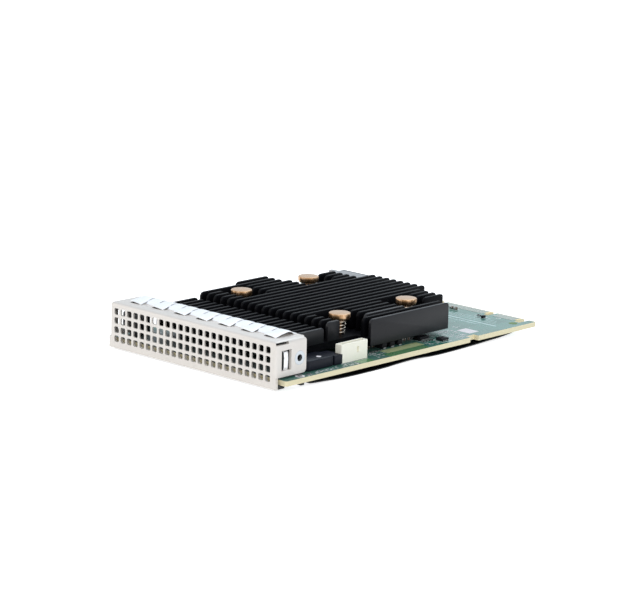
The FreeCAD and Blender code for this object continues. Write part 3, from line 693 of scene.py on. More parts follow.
@dataclass(frozen=True)
class CoilWire(Finish):
    """Drawn spring wire that turns from steel to a warm tint along its height, in metres."""

    warm: Colour = (0.48, 0.40, 0.32)
    rise: Pair = (0.008, 0.014)
    tint_range: Pair = (0.25, 0.75)
    wander: float = 0.004
    wander_grain: float = 600.0
    gloss_grain: float = 2500.0

    def dress(self, sheet: Sheet) -> None:
        """Fill in the node tree with the tint over height and noise."""
        z = sheet.split(sheet.where)[2]
        offset = sheet.math("MULTIPLY", sheet.noise(self.wander_grain, 2.0), self.wander)
        uneven = sheet.math("ADD", z, offset)
        tint = sheet.spread(uneven, *self.rise, *self.tint_range)
        sheet.feed("Base Color", sheet.mix(tint, self.colour, self.warm))
        sheet.feed("Roughness", self.gloss(sheet, sheet.noise(self.gloss_grain, 2.0), self.gloss_spread))
        sheet.set(Metallic=self.metallic)


@dataclass(frozen=True)
class TurnedMetal(Finish):
    """Turned metal with an even top and dark streaks up its side, painted as reflections of the black fins.
    """

    fin_reflection: Colour = (0.24, 0.13, 0.055)
    reflection_grain: float = 620.0
    reflection_stretch: Point = (1, 1, 0.02)
    reflection_edge: Pair = (0.44, 0.56)
    reflection_cover: float = 0.9
    side_turn: Pair = (0.5, 0.95)

    def tone(self, sheet: Sheet, value: bpy.types.NodeSocket) -> bpy.types.NodeSocket:
        """Colour with painted reflections of the fins on the side; the noise of a plain finish isn't used."""
        grain = sheet.noise(self.reflection_grain, 1.0, self.reflection_stretch)
        reflections = sheet.spread(grain, *self.reflection_edge, 0.0, self.reflection_cover)
        side = sheet.math("MULTIPLY", reflections, sheet.spread(sheet.up(), *self.side_turn, 1.0, 0.0))
        return sheet.mix(side, self.colour, self.fin_reflection)


@dataclass(frozen=True)
class CastBlock(Finish):
    """Casting with painted shade: black where it lies within the faceplate, its own metal where its boss
    stands out.
    """

    inside_shade: Colour = (0.02, 0.021, 0.024)
    boss_start: float = 0.03441
    shade_edge: float = 0.00004

    def dress(self, sheet: Sheet) -> None:
        """Fill in the node tree: the casting's own metal beyond the inside of the faceplate, painted shade
        within it.
        """
        out = sheet.math("ABSOLUTE", sheet.split(sheet.where)[0])
        # painted shade: the block is black inside the faceplate, where it lies in shade
        beyond_plate = sheet.spread(out, self.boss_start, self.boss_start + self.shade_edge)
        fine = sheet.noise(self.grain)
        worn = tuple(c * (1 - 2 * self.shade) for c in self.colour)
        sheet.feed("Base Color", sheet.mix(beyond_plate, self.inside_shade, sheet.mix(fine, self.colour, worn)))
        sheet.feed("Metallic", sheet.spread(beyond_plate, 0.0, 1.0, 0.0, self.metallic))
        sheet.feed("Roughness", self.gloss(sheet, fine, self.gloss_spread))
        sheet.bump(fine, self.relief)


FACEPLATE_STEEL = Finish("faceplate_satin_nickel", (0.665, 0.63, 0.59),
                         0.5, 0.48, 0.03, 0.05, 900.0, 0.000002)
STRIP_STEEL = Finish("bright_strip", (0.93, 0.94, 0.96), 0.6, 0.3, 0.02, 0.04, 400.0, 0.0000015)
CAST_BLOCK = CastBlock("casting_shaded_inside", (0.55, 0.585, 0.61), 0.85, 0.36, 0.06, 0.06, 1200.0, 0.000004)
SCREW_STEEL = Finish("screw_steel", (0.55, 0.55, 0.57), 1.0, 0.3, 0.06, 0.05, 2600.0)
FIN_BLACK = Finish("black_anodised_fins", (0.003, 0.0031, 0.0043),
                   0.0, 0.45, 0.2, 0.05, 1500.0, 0.000003, 0.05)
# Brighter copy of the fin finish: painted light on fins whose right faces catch the side light
FIN_BLACK_LIT = Finish("black_anodised_lit_copy", (0.0085, 0.0085, 0.0105),
                    0.0, 0.4, 0.15, 0.05, 1500.0, 0.000003, 0.24)
PIN_BRONZE = TurnedMetal("turned_bronze", (0.57, 0.365, 0.215), 0.92, 0.27, 0.02, 0.02, 500.0, 0.0000004)
COIL = CoilWire("coil_wire", (0.60, 0.58, 0.54), 1.0, 0.26, gloss_spread=0.05)
RETAINER = Finish("retainer_plate", (0.58, 0.58, 0.6), 1.0, 0.32)
MASK = SolderMask("green_solder_mask", (0.035, 0.17, 0.13), 0.0, 0.2, gloss_spread=0.05, relief=0.000004,
                  specular=1.0)
SILK = Finish("white_silkscreen", (0.8, 0.77, 0.79), 0.0, 0.5, 0.06)
PALE_ZONE = Finish("mask_over_laminate", (0.45, 0.52, 0.27), 0.0, 0.22, 0.06, 0.04, 500.0, 0.000004)
GREEN_ZONE = Finish("mask_over_glass", (0.10, 0.24, 0.11), 0.0, 0.2, 0.1, 0.04, 500.0, 0.000004)
OPEN_LAMINATE = Finish("open_laminate", (0.20, 0.29, 0.13), 0.0, 0.6, 0.08, 0.04, 500.0, 0.000002, 0.1)
TRACE_GREEN = Finish("mask_over_trace", (0.40, 0.60, 0.59), 0.0, 0.15, 0.06, 0.03, 500.0, 0.000002, 1.0)
PALE_GOLD = Finish("thin_contact_gold", (0.60, 0.61, 0.56), 0.8, 0.3, 0.05, 0.05, 700.0, 0.000001)
GOLD = Finish("contact_gold", (0.76, 0.63, 0.44), 1.0, 0.26, 0.05, 0.05, 1200.0, 0.000001)
# Tin darkened as painted shade for the small parts, most of which sit in the shade of the heat sink; used on
# all small parts
SHADED_TIN = Finish("tin_with_painted_shade", (0.40, 0.40, 0.39), 0.9, 0.4, 0.1, 0.08, 1500.0, 0.000004)
TIN = Finish("solder_tin", (0.74, 0.75, 0.77), 1.0, 0.28, 0.1, 0.08, 3000.0, 0.00001)
CERAMIC = Finish("capacitor_ceramic", (0.13, 0.09, 0.06), 0.0, 0.45, 0.15)
BLACK_EPOXY = Finish("black_epoxy", (0.01, 0.0105, 0.013), 0.0, 0.5, 0.2, 0.08, 3000.0, 0.000012, 0.15)
CHOKE_BLACK = Finish("pressed_choke_black", (0.008, 0.0095, 0.016),
                     0.0, 0.42, 0.2, 0.06, 1500.0, 0.000004, 0.16)
RESIST_BLACK = Finish("resistor_film", (0.015, 0.015, 0.017), 0.0, 0.4, specular=0.2)
WHITE_NYLON = Finish("off_white_nylon", (0.93, 0.91, 0.79), 0.0, 0.42, 0.02, 0.05, 900.0, 0.000002)
BLACK_NYLON = Finish("black_nylon", (0.02, 0.02, 0.022), 0.0, 0.5, 0.2)
SHELL_STEEL = Finish("shell_stainless", (0.275, 0.275, 0.28), 0.85, 0.3, 0.03, 0.05, 700.0, 0.000002)
LIP_GREY = Finish("shell_lip", (0.08, 0.088, 0.092), 0.0, 0.5, 0.05, 0.05, 700.0, 0.000002, 0.2)
# Black foam of the gasket bar; the same black also stands for painted shade under the strip fingers and
# behind the relief slots
BLACK_FOAM_AND_SHADE = Finish("gasket_foam", (0.007, 0.007, 0.007), 0.0, 0.85, 0.3, 0.05, 2500.0, 0.0001)
FILM = Finish("insulating_film", (0.006, 0.006, 0.007), 0.0, 0.32, 0.2, 0.06, 500.0, 0.00001)
PAD_GREY = Finish("thermal_pad", (0.42, 0.42, 0.47), 0.0, 0.7, 0.1, 0.05, 1800.0, 0.00003)
LID_NICKEL = Finish("nickel_lid", (0.68, 0.67, 0.65), 1.0, 0.34, 0.05)
SUBSTRATE = Finish("package_substrate", (0.03, 0.12, 0.05), 0.0, 0.3, 0.15)


@dataclass
class Faceplate:
    """Perforated front sheet, folded back at the top and sides; an area is a depth and a height range."""

    half_width: float = 35.4
    height: float = FLANGE_TOP
    depth: float = 13.0
    sheet: float = 1.0
    bend: float = 1.0
    bend_steps: int = 5
    flange_bottom: float = 3.4
    flange_corner: float = 1.3
    corner_steps: int = 6
    hole: float = 2.0
    hole_corner: float = 0.5
    hole_steps: int = 4
    pitch_x: float = 2.81
    pitch_z: float = 2.85
    columns: int = 24
    rows: int = 4
    top_row: float = 11.53
    slot: Area = (2.6, 6.7, 5.2, 11.3)
    relief: Area = (0.4, 5.5, 13.05, 13.85)
    relief_reach: float = 2.2
    thin_half: float = 33.9
    thin_sheet: float = 0.5
    thin_low: float = 1.5
    thin_high: float = 12.95
    apron: float = 0.2
    boss_depth: float = 10.2
    boss_z: float = 8.1
    boss_radius: float = 2.1
    boss_gap: float = 0.05
    boss_sides: int = 48
    clear: float = 0.1
    sharp: float = 28.0
    broken_edge: float = 0.05

    def body(self) -> bpy.types.Object:
        """Folded sheet with no openings yet, thinner where its holes come."""
        outer = Form()
        outer.block(-self.half_width, self.half_width, 0, self.depth, 0, self.height)
        edge = place(self.half_width, 0, self.height)
        front, top, side = edge.y + TINY, edge.z - TINY, edge.x - TINY

        def folded(a: Vector, b: Vector) -> bool:
            """Whether an edge is one of the five that are bent."""
            at_front = a.y < front and b.y < front
            at_top = a.z > top and b.z > top
            at_side = min(abs(a.x), abs(b.x)) > side and a.x * b.x > 0
            return (at_front and at_top) or (at_front and at_side) or (at_top and at_side)

        outer.soften(outer.mesh.verts[:], self.bend, self.bend_steps, folded)
        plate = outer.piece("faceplate_sheet", [FACEPLATE_STEEL])
        wall = self.half_width - self.sheet
        plate = carved(plate, tool(-wall, wall, self.sheet, self.depth + PAST, -PAST,
                                   self.height - self.sheet))
        plate = carved(plate, tool(-self.thin_half, self.thin_half, self.thin_sheet, self.sheet + PAST,
                                   self.thin_low, self.thin_high))
        wide = self.half_width + self.apron
        return carved(plate, tool(-wide, wide, 0, self.sheet, 0, self.flange_bottom), "UNION")

    def openings(self) -> bpy.types.Object:
        """Solids of all the holes, slots and trimmed corners."""
        cuts = Form()
        bottom, rear, corner = self.flange_bottom, self.depth, self.flange_corner
        low_arc = arc((rear - corner, bottom + corner), corner, 0, -90, self.corner_steps)
        foot = [(self.sheet, -PAST), (rear + PAST, -PAST), (rear + PAST, bottom + corner)] + low_arc
        foot.append((self.sheet, bottom))
        high_arc = arc((rear - corner, self.height - corner), corner, 90, 0, self.corner_steps)
        shoulder = [(rear + PAST, self.height - corner), (rear + PAST, self.height + PAST),
                    (rear - corner, self.height + PAST)] + high_arc
        last = self.boss_sides - 1
        rounds = arc((self.boss_depth, self.boss_z), self.boss_radius + self.boss_gap, 0,
                     360 * last / self.boss_sides, last)
        near, far = self.half_width - self.sheet - self.clear, self.half_width + PAST
        for side in Side:
            for outline in (foot, shoulder, rounds):
                cuts.drawn(outline, Axis.X, side.value * near, side.value * far)
            cuts.beside(side, near, far, *self.slot)
            cuts.beside(side, self.half_width - self.relief_reach, far, *self.relief)
        outline = rounded_square(self.hole, self.hole_corner, self.hole_steps)
        for column in range(self.columns):
            for row in range(self.rows):
                x = (column - (self.columns - 1) / 2) * self.pitch_x
                z = self.top_row - row * self.pitch_z
                cuts.drawn([(x + a, z + b) for a, b in outline], Axis.Y, -PAST, self.sheet + PAST)
        return cuts.piece("openings", [])

    def build(self) -> None:
        """Make the sheet in place of its node."""
        plate = carved(self.body(), self.openings())
        crisp(plate, self.sharp, self.broken_edge)
        fitted(plate, "faceplate_steel", "faceplate")


@dataclass
class FingerStrip:
    """Sprung contact strip on the top flange, of overlapping domed fingers, every second one longer."""

    count: int = 13
    pitch: float = 4.76
    aside: float = 0.6
    sheet: float = 0.2
    slit: float = 0.46
    slit_start: float = 7.2
    front_gap: float = 0.02
    long_front: float = 3.85
    short_front: float = 5.6
    rear: float = 12.7
    crest_fall: float = 0.12
    crest_power: int = 4
    tilt: float = 0.42
    tilt_length: float = 2.6
    dip_length: float = 1.4
    level: float = FLANGE_TOP
    hover: float = 0.02
    # the next three fields place the black blocks that stand for the shadow under the long fingers' fronts
    shadow_share: float = 0.72
    shadow_length: float = 1.4
    shadow_inset: Pair = (0.05, 0.06)
    front_steps: int = 10
    rear_steps: int = 16
    chords: int = 8
    step_back: float = 0.001
    sharp: float = 24.0
    knots: tuple[Pair, ...] = ((3.85, 14.74), (5.6, 14.93), (7.0, 15.07), (8.2, 15.26), (8.8, 15.36),
                               (9.3, 15.4), (9.8, 15.36), (10.4, 15.2), (11.1, 14.74), (11.7, 14.34),
                               (12.2, 14.21), (12.7, FLANGE_TOP))

    def left(self, number: int) -> float:
        """Left end of a finger's place in the row."""
        return self.aside - self.count * self.pitch / 2 + number * self.pitch

    def height(self, depth: float, crown: float) -> float:
        """Underside of the strip.

        Args:
            depth: depth behind the faceplate.
            crown: 0 at a finger's edges and 1 in its middle.

        Returns:
            Height in millimetres.
        """
        for (d0, z0), (d1, z1) in zip(self.knots, self.knots[1:]):
            if depth <= d1:
                middle = z0 + (z1 - z0) * (depth - d0) / (d1 - d0)
                return max(middle - self.crest_fall * (1 - crown), self.level)
        return self.knots[-1][1]

    def droop(self, depth: float, share: float, number: int) -> float:
        """How far a finger's front hangs lower.

        Args:
            depth: depth behind the faceplate.
            share: place across the finger, from 0 at the left to 1 at the right.
            number: place in the row; a long finger tilts to the right and a short one dips to the flange.

        Returns:
            The drop in millimetres.
        """
        if number % 2:
            rise = self.height(depth, 1.0) - self.level
            return rise * max(1 - (depth - self.short_front) / self.dip_length, 0.0)
        return self.tilt * share * max(1 - (depth - self.long_front) / self.tilt_length, 0.0)

    def edges(self, depth: float, number: int) -> Pair:
        """Left and right edge of a finger at a depth, within its place."""
        gap = self.slit / 2 if depth > self.slit_start else self.front_gap
        return (gap if number else 0.0), self.pitch - (gap if number < self.count - 1 else 0.0)

    def grid(self, form: Form, front: float, number: int, lift: float) -> list[list[bmesh.types.BMVert]]:
        """Points of one face of a finger, in rows across it.

        Args:
            form: piece that is being built.
            front: depth of its front edge.
            number: place in the row, from the left.
            lift: height above the underside.

        Returns:
            The rows from front to rear.
        """
        depths = even(front, self.slit_start, self.front_steps)
        depths += even(self.slit_start + self.step_back, self.rear, self.rear_steps)
        rows = []
        for depth in depths:
            first, last = self.edges(depth, number)
            row = []
            for share in even(0.0, 1.0, self.chords):
                crown = 1 - abs(2 * share - 1) ** self.crest_power
                level = self.height(depth, crown) - self.droop(depth, share, number)
                spot = place(self.left(number) + first + (last - first) * share, depth,
                             max(level, self.level + self.hover) + lift)
                row.append(form.mesh.verts.new(spot))
            rows.append(row)
        return rows

    def finger(self, form: Form, front: float, number: int) -> None:
        """Add one finger.

        Args:
            form: piece that is being built.
            front: depth of its front edge.
            number: place in the row, from the left.
        """
        low, high = (self.grid(form, front, number, lift) for lift in (0.0, self.sheet))
        rows, columns = len(low), len(low[0])
        for i in range(rows - 1):
            for j in range(columns - 1):
                form.face((high[i][j], high[i][j + 1], high[i + 1][j + 1], high[i + 1][j]))
                form.face((low[i][j], low[i + 1][j], low[i + 1][j + 1], low[i][j + 1]))
            for j in (0, columns - 1):
                form.face((low[i][j], high[i][j], high[i + 1][j], low[i + 1][j]))
        for j in range(columns - 1):
            for i in (0, rows - 1):
                form.face((low[i][j], low[i][j + 1], high[i][j + 1], high[i][j]))

    def shadow_strip(self, form: Form, number: int) -> None:
        """Add a black block that stands for the painted shadow under the front of a long finger."""
        left, front = self.left(number), self.long_front
        aside, back = self.shadow_inset
        top = self.height(front, 0.0) - self.shadow_share * self.tilt - self.hover
        form.block(left + aside, left + self.shadow_share * self.pitch, front + back, front + self.shadow_length,
                   self.level, top)

    def build(self) -> None:
        """Make all fingers as one sheet in place of its node."""
        form = Form()
        for number in range(self.count):
            self.finger(form, self.short_front if number % 2 else self.long_front, number)
        # black blocks under the long fingers: painted shadow of the gaps beneath their fronts
        form.material = 1
        for number in range(0, self.count, 2):
            self.shadow_strip(form, number)
        strip = form.piece("contact_finger_strip", [STRIP_STEEL, BLACK_FOAM_AND_SHADE], self.sharp)
        fitted(strip, "strip_steel", "gasket_finger_strip")


@dataclass
class SideParts:
    """Spring leaves behind the side slots, black blocks of painted shade behind the relief slots and the
    gasket bar at the front.
    """

    wall: float = 34.4
    leaf: float = 0.25
    bow: float = 0.2
    bow_steps: int = 8
    start: float = 4.55
    end: float = 6.15
    low: float = 4.2
    high: float = 12.3
    slot_low: float = 5.22
    bow_low: float = 5.2
    bow_high: float = 10.4
    jog: Pair = (0.7, 0.5)
    shade_reach: Pair = (1.1, 0.1)
    shade_area: Area = (0.55, 5.35, 12.3, 13.1)
    bar_half: float = 35.75
    bar_area: Area = (1.0, 3.7, 0.03, BOARD_BOTTOM)
    bar_soft: float = 0.12
    pad_x: float = 36.4
    pad_depth: float = 9.8
    pad_size: float = 1.5
    pad_height: float = 1.0
    pad_soft: float = 0.1

    def section(self) -> list[Pair]:
        """Outline of a leaf seen along the card, with a round bow."""
        outside = [(self.wall, self.low), (self.wall, self.slot_low)]
        for share in even(0.0, 1.0, self.bow_steps)[1:-1]:
            out = self.bow * math.sin(math.pi * share) ** 0.5
            outside.append((self.wall + out, self.bow_low + (self.bow_high - self.bow_low) * share))
        inward, upward = self.jog
        outside += [(self.wall, self.bow_high), (self.wall - inward, self.bow_high + upward),
                    (self.wall - inward, self.high)]
        return outside + [(x - self.leaf, z) for x, z in reversed(outside)]

    def leaves(self) -> None:
        """Make both bowed leaves in place of their nodes."""
        for side in Side:
            form = Form()
            form.drawn([(side.value * x, z) for x, z in self.section()], Axis.Y, self.start, self.end)
            name = side.name.lower()
            fitted(form.piece("slot_leaf_" + name, [STRIP_STEEL]), "strip_steel", "side_leaf_" + name)

    def relief_slot_shade(self) -> None:
        """Make the black blocks of painted shade that are seen through the relief slots."""
        shade_piece = Form()
        inner, outer = (self.wall - reach for reach in self.shade_reach)
        for side in Side:
            shade_piece.beside(side, inner, outer, *self.shade_area)
        fitted(shade_piece.piece("relief_slot_shade", [BLACK_FOAM_AND_SHADE]), "gasket_foam")

    def gasket(self) -> None:
        """Make the bar under the board's front edge and its side pads, in place of their node."""
        bar = Form()
        bar.block(-self.bar_half, self.bar_half, *self.bar_area, self.bar_soft)
        for side in Side:
            bar.chip(side.value * self.pad_x, self.pad_depth, self.pad_size, self.pad_size,
                     BOARD_BOTTOM - self.pad_height, self.pad_height, self.pad_soft)
        fitted(bar.piece("gasket_bar", [BLACK_FOAM_AND_SHADE]), "gasket_foam", "front_gasket")

    def build(self) -> None:
        """Make everything; the tapped blocks keep their nodes."""
        self.leaves()
        self.relief_slot_shade()
        self.gasket()


@dataclass
class HeatSink:
    """Black fins on a stepped base, open round the pins, with a low front section.

    Fins are counted from the middle, from -11 at the left to 10 at the right. first_fins holds the leftmost
    fin of each group with one rear end, and base_fins the pitches from the middle to each side of the base.
    """

    pitch: float = 3.0
    thickness: float = 1.05
    bottom: float = 5.2
    base_top: float = BASE_TOP
    base_soft: float = 0.1
    sunk: float = 0.4
    top: float = 13.5
    low_top: float = 12.1
    low_start: float = 13.5
    low_end: float = 30.4
    main_start: float = 32.1
    first_fin: int = -11
    last_fin: int = 10
    # fins whose right faces are open to the side light take the brighter copy of the black finish: painted
    # light
    lit_fins: tuple[int, int] = (8, 10)
    right_step: Pair = (44.7, 80.6)
    right_rear: float = 88.2
    centre_rear: float = 93.2
    left_rear: float = 87.2
    left_step: Pair = (50.7, 65.0)
    first_fins: tuple[int, ...] = (8, 4, -4, -8, -10)
    front_nose: float = 1.5
    rear_nose: float = 0.75
    wall_nose: float = 1.1
    low_noses: Pair = (0.5, 0.8)
    nose_steps: int = 6
    pocket_half_width: float = 6.0
    pocket_half_length: float = 6.2
    front_left_reach: float = 3.8
    front_right_reach: float = 5.2
    shortest: float = 3.0
    soft: float = 0.14
    wall_proud: float = 0.01
    pedestal: Area = (-12.0, 12.0, 45.8, 69.8)
    base_fins: tuple[float, ...] = (3.5, 7.5, 8.5, 9.5, 10.5)
    pedestal_drop: float = 0.35
    pedestal_rise: float = 0.1

    def spot(self, number: int) -> float:
        """X of a fin."""
        return (number + 0.5) * self.pitch

    def reach(self, number: int) -> Pair:
        """Front and rear of a main fin."""
        if number > self.first_fins[0]:
            return self.right_step
        rears = (self.right_step[1], self.right_rear, self.centre_rear, self.left_rear, self.left_step[1])
        for leftmost, rear in zip(self.first_fins, rears):
            if number >= leftmost:
                return self.main_start, rear
        return self.left_step

    def spans(self, x: float, start: float, end: float) -> list[Pair]:
        """Stretches of a fin that are left beside the pockets."""
        left = [(start, end)]
        if abs(abs(x) - PIN_X) >= self.pocket_half_width:
            return left
        for row in PinRow:
            reach = self.pocket_half_length
            if row is PinRow.FRONT:
                reach = self.front_left_reach if x < 0 else self.front_right_reach
            low, high = row.value - reach, row.value + self.pocket_half_length
            parts = [(a, min(b, low)) for a, b in left] + [(max(a, high), b) for a, b in left]
            left = [(a, b) for a, b in parts if b - a > self.shortest]
        return left

    def fin(self, form: Form, number: int, start: float, end: float, low: bool = False) -> None:
        """Add one fin with round top corners.

        Args:
            form: piece that is being built.
            number: place of the fin.
            start: its front.
            end: its rear.
            low: whether it belongs to the low front section.
        """
        x = self.spot(number)
        outermost = number == self.last_fin
        top = self.low_top if low else self.top
        front_nose, rear_nose = self.front_nose, self.wall_nose if outermost else self.rear_nose
        if low:
            front_nose, rear_nose = self.low_noses
        foot = self.bottom if outermost else self.base_top - self.sunk
        outline = [(end, foot), (start, foot)]
        outline += arc((start + front_nose, top - front_nose), front_nose, 180, 90, self.nose_steps)
        outline += arc((end - rear_nose, top - rear_nose), rear_nose, 90, 0, self.nose_steps)
        # painted light: open fins take the brighter copy of the black finish
        form.material = 1 if number in self.lit_fins else 0
        proud = self.wall_proud if outermost else 0.0
        form.drawn(outline, Axis.X, x - self.thickness / 2, x + self.thickness / 2 + proud, self.soft)

    def base_outline(self) -> list[Pair]:
        """Plan of the base, which follows the ends of the fins."""
        faces = [fins * self.pitch + self.thickness / 2 for fins in self.base_fins]
        centre, rear, pocket, low, widest = faces
        right_front, right_rear = self.right_step
        left_front, left_rear = self.left_step
        pocket_rear = PinRow.REAR.value + self.pocket_half_length
        right = [(pocket, self.low_start), (pocket, right_front), (widest, right_front),
                 (widest, right_rear), (rear, right_rear), (rear, self.right_rear),
                 (centre, self.right_rear), (centre, self.centre_rear)]
        step = centre + self.pitch
        left = [(step, self.centre_rear), (step, self.left_rear), (rear, self.left_rear),
                (rear, pocket_rear), (pocket, pocket_rear), (pocket, left_rear),
                (widest, left_rear), (widest, left_front), (low, left_front)]
        return [(-low, self.low_start)] + right + [(-x, depth) for x, depth in left]

    def build(self) -> None:
        """Make fins and base in place of the node."""
        form = Form()
        form.drawn(self.base_outline(), Axis.Z, self.bottom, self.base_top, self.base_soft, 1)
        form.block(*self.pedestal, self.bottom - self.pedestal_drop, self.bottom + self.pedestal_rise)
        for number in range(self.first_fin, self.last_fin + 1):
            start, end = self.reach(number)
            if start == self.main_start:
                self.fin(form, number, self.low_start, self.low_end, low=True)
            for span_start, span_end in self.spans(self.spot(number), start, end):
                self.fin(form, number, span_start, span_end)
        fitted(form.piece("finned_heat_sink", [FIN_BLACK, FIN_BLACK_LIT]), "sink_aluminium", "heat_sink")


@dataclass
class RetainingPins:
    """Four turned pins with springs that hold the heat sink down."""

    top: float = 14.2
    head: float = 3.32
    rim: float = 1.15
    rim_round: tuple[Pair, ...] = ((0.0, 0.26), (0.05, 0.12), (0.16, 0.03), (0.3, 0.0))
    cone: float = 1.3
    cone_steps: int = 8
    cone_power: float = 0.9
    neck: float = 1.7
    neck_corner: Pair = (0.1, 0.08)
    shank: float = 0.85
    foot: float = 0.42
    foot_corner: float = 0.2
    facets: int = 56
    base: float = BASE_TOP
    coil_low: float = 1.5
    coil_high: float = 2.05
    coil_top: float = 12.0
    turns: float = 4.6
    closed_turns: float = 0.5
    steps_per_turn: int = 28
    wire: float = 0.2
    wire_facets: int = 10

    def profile(self) -> list[Pair]:
        """Half outline of a pin, from its foot to its top."""
        rim_low = self.top - self.rim
        cone_low = rim_low - self.cone
        inset, lip = self.neck_corner
        body = [(0, self.foot), (self.shank - self.foot_corner, self.foot),
                (self.shank, self.foot + self.foot_corner), (self.shank, cone_low),
                (self.neck - inset, cone_low), (self.neck, cone_low + lip)]
        for share in even(0.0, 1.0, self.cone_steps)[1:]:
            turn = math.radians(90 * share)
            radius = self.neck + (self.head - self.neck) * math.sin(turn) ** self.cone_power
            body.append((radius, cone_low + lip + (self.cone - lip) * (1 - math.cos(turn))))
        body += [(self.head - across, self.top - down) for across, down in self.rim_round]
        return body + [(0, self.top)]

    def spring(self, x: float, depth: float) -> list[Vector]:
        """Middle line of a spring with closed ends."""
        low, high = self.base + self.wire, self.coil_top - self.wire
        points = []
        for share in even(0.0, 1.0, int(self.turns * self.steps_per_turn)):
            turn = share * self.turns
            rise = min(max((turn - self.closed_turns) / (self.turns - 2 * self.closed_turns), 0.0), 1.0)
            radius = self.coil_low + (self.coil_high - self.coil_low) * share
            angle = 2 * math.pi * turn
            points.append(place(x + radius * math.cos(angle), depth + radius * math.sin(angle),
                                low + (high - low) * rise))
        return points

    def build(self) -> None:
        """Make each pin and spring in place of its node."""
        for row in PinRow:
            for side in Side:
                corner = f"{row.name}_{side.name}".lower()
                x, depth = side.value * PIN_X, row.value
                pin = Form()
                pin.turned(self.profile(), x, depth, self.facets)
                fitted(pin.piece("turned_pin_" + corner, [PIN_BRONZE]), "pin_bronze",
                       "retaining_pin_" + corner)
                coil = Form()
                coil.tube(self.spring(x, depth), self.wire, self.wire_facets)
                fitted(coil.piece("coil_" + corner, [COIL]), "spring_steel", "pin_spring_" + corner)


@dataclass
class Insulator:
    """Black film under the board, hanging from it in two lobes between its glued hems.

    A sag is a depth and the drop of the film below the board there.
    """

    half: float = 37.0
    front: float = 10.6
    rear: float = 106.6
    film: float = 0.25
    steps: int = 120
    tongue_half: float = 30.5
    tongue_end: float = 12.3
    sags: tuple[Pair, ...] = ((10.2, -0.25), (11.3, 0.2), (12.8, 0.75), (15.0, 0.98), (18.3, 1.14),
                              (25.2, 1.52), (32.2, 1.69), (38.5, 1.7), (46.5, 1.63), (51.0, 1.4), (57.4, 1.2),
                              (62.0, 1.26), (67.0, 1.55), (71.5, 1.64), (79.9, 1.51), (88.0, 1.28),
                              (95.3, 0.98), (99.0, 0.86), (103.5, 0.52), (106.6, 0.15), (108.0, -0.25))

    def height(self, depth: float) -> float:
        """Top of the film at a depth, on a smooth curve through the measured places."""
        for before, start, end, after in zip(self.sags, self.sags[1:], self.sags[2:], self.sags[3:]):
            (d0, s0), (d1, s1) = start, end
            if d0 <= depth <= d1:
                m0 = (s1 - before[1]) / (d1 - before[0]) * (d1 - d0)
                m1 = (after[1] - s0) / (after[0] - d0) * (d1 - d0)
                t = (depth - d0) / (d1 - d0)
                sag = ((2 * t ** 3 - 3 * t ** 2 + 1) * s0 + (t ** 3 - 2 * t ** 2 + t) * m0
                       + (3 * t ** 2 - 2 * t ** 3) * s1 + (t ** 3 - t ** 2) * m1)
                return BOARD_BOTTOM - max(sag, 0.0)
        return BOARD_BOTTOM

    def build(self) -> None:
        """Make the film in place of its node, with its narrower front tongue."""
        form = Form()
        depths = even(self.front, self.rear, self.steps)
        top = [(depth, self.height(depth)) for depth in depths if depth > self.tongue_end]
        under = [(depth, z - self.film) for depth, z in reversed(top)]
        form.drawn(top + under, Axis.X, -self.half, self.half)
        tongue = [(self.front, BOARD_BOTTOM), top[0], under[-1], (self.front, BOARD_BOTTOM - self.film)]
        form.drawn(tongue, Axis.X, -self.tongue_half, self.tongue_half)
        fitted(form.piece("bowed_film", [FILM]), "insulator_film", "insulator_sheet")


@dataclass
class Header:
    """Off-white upright header with a window in its long side, and its pins."""

    left: float = 31.7
    right: float = 34.3
    start: float = 29.35
    end: float = 40.9
    top: float = 8.55
    wall: float = 0.7
    floor: float = 1.4
    soft: float = 0.12
    sharp: float = 30.0
    broken_edge: float = 0.03
    window_share: float = 0.63
    window_half: float = 0.45
    window_drops: Pair = (3.2, 1.5)
    clear: float = 0.1
    pins: int = 5
    pin: float = 0.5
    pin_height: float = 3.4
    pin_margin: float = 1.5

    def housing(self, floor: float) -> None:
        """Make the open box in place of its node."""
        body = Form()
        body.block(self.left, self.right, self.start, self.end, BOARD_TOP, self.top, self.soft, 1)
        inside = Form()
        inside.block(self.left + self.wall, self.right - self.wall, self.start + self.wall,
                     self.end - self.wall, floor, self.top + PAST)
        middle = self.start + self.window_share * (self.end - self.start)
        low, high = (self.top - drop for drop in self.window_drops)
        inside.block(self.right - self.wall - self.clear, self.right + PAST, middle - self.window_half,
                     middle + self.window_half, low, high)
        housing = carved(body.piece("white_header", [WHITE_NYLON]), inside.piece("hollow", []))
        crisp(housing, self.sharp, self.broken_edge)
        fitted(housing, "header_white", "power_header_housing")

    def build(self) -> None:
        """Make the housing and pins in place of their nodes."""
        floor = BOARD_TOP + self.floor
        self.housing(floor)
        posts = Form()
        for depth in even(self.start + self.pin_margin, self.end - self.pin_margin, self.pins - 1):
            posts.chip((self.left + self.right) / 2, depth, self.pin, self.pin, floor, self.pin_height,
                       self.soft)
        fitted(posts.piece("header_posts", [GOLD]), "contact_gold", "power_header_pins")


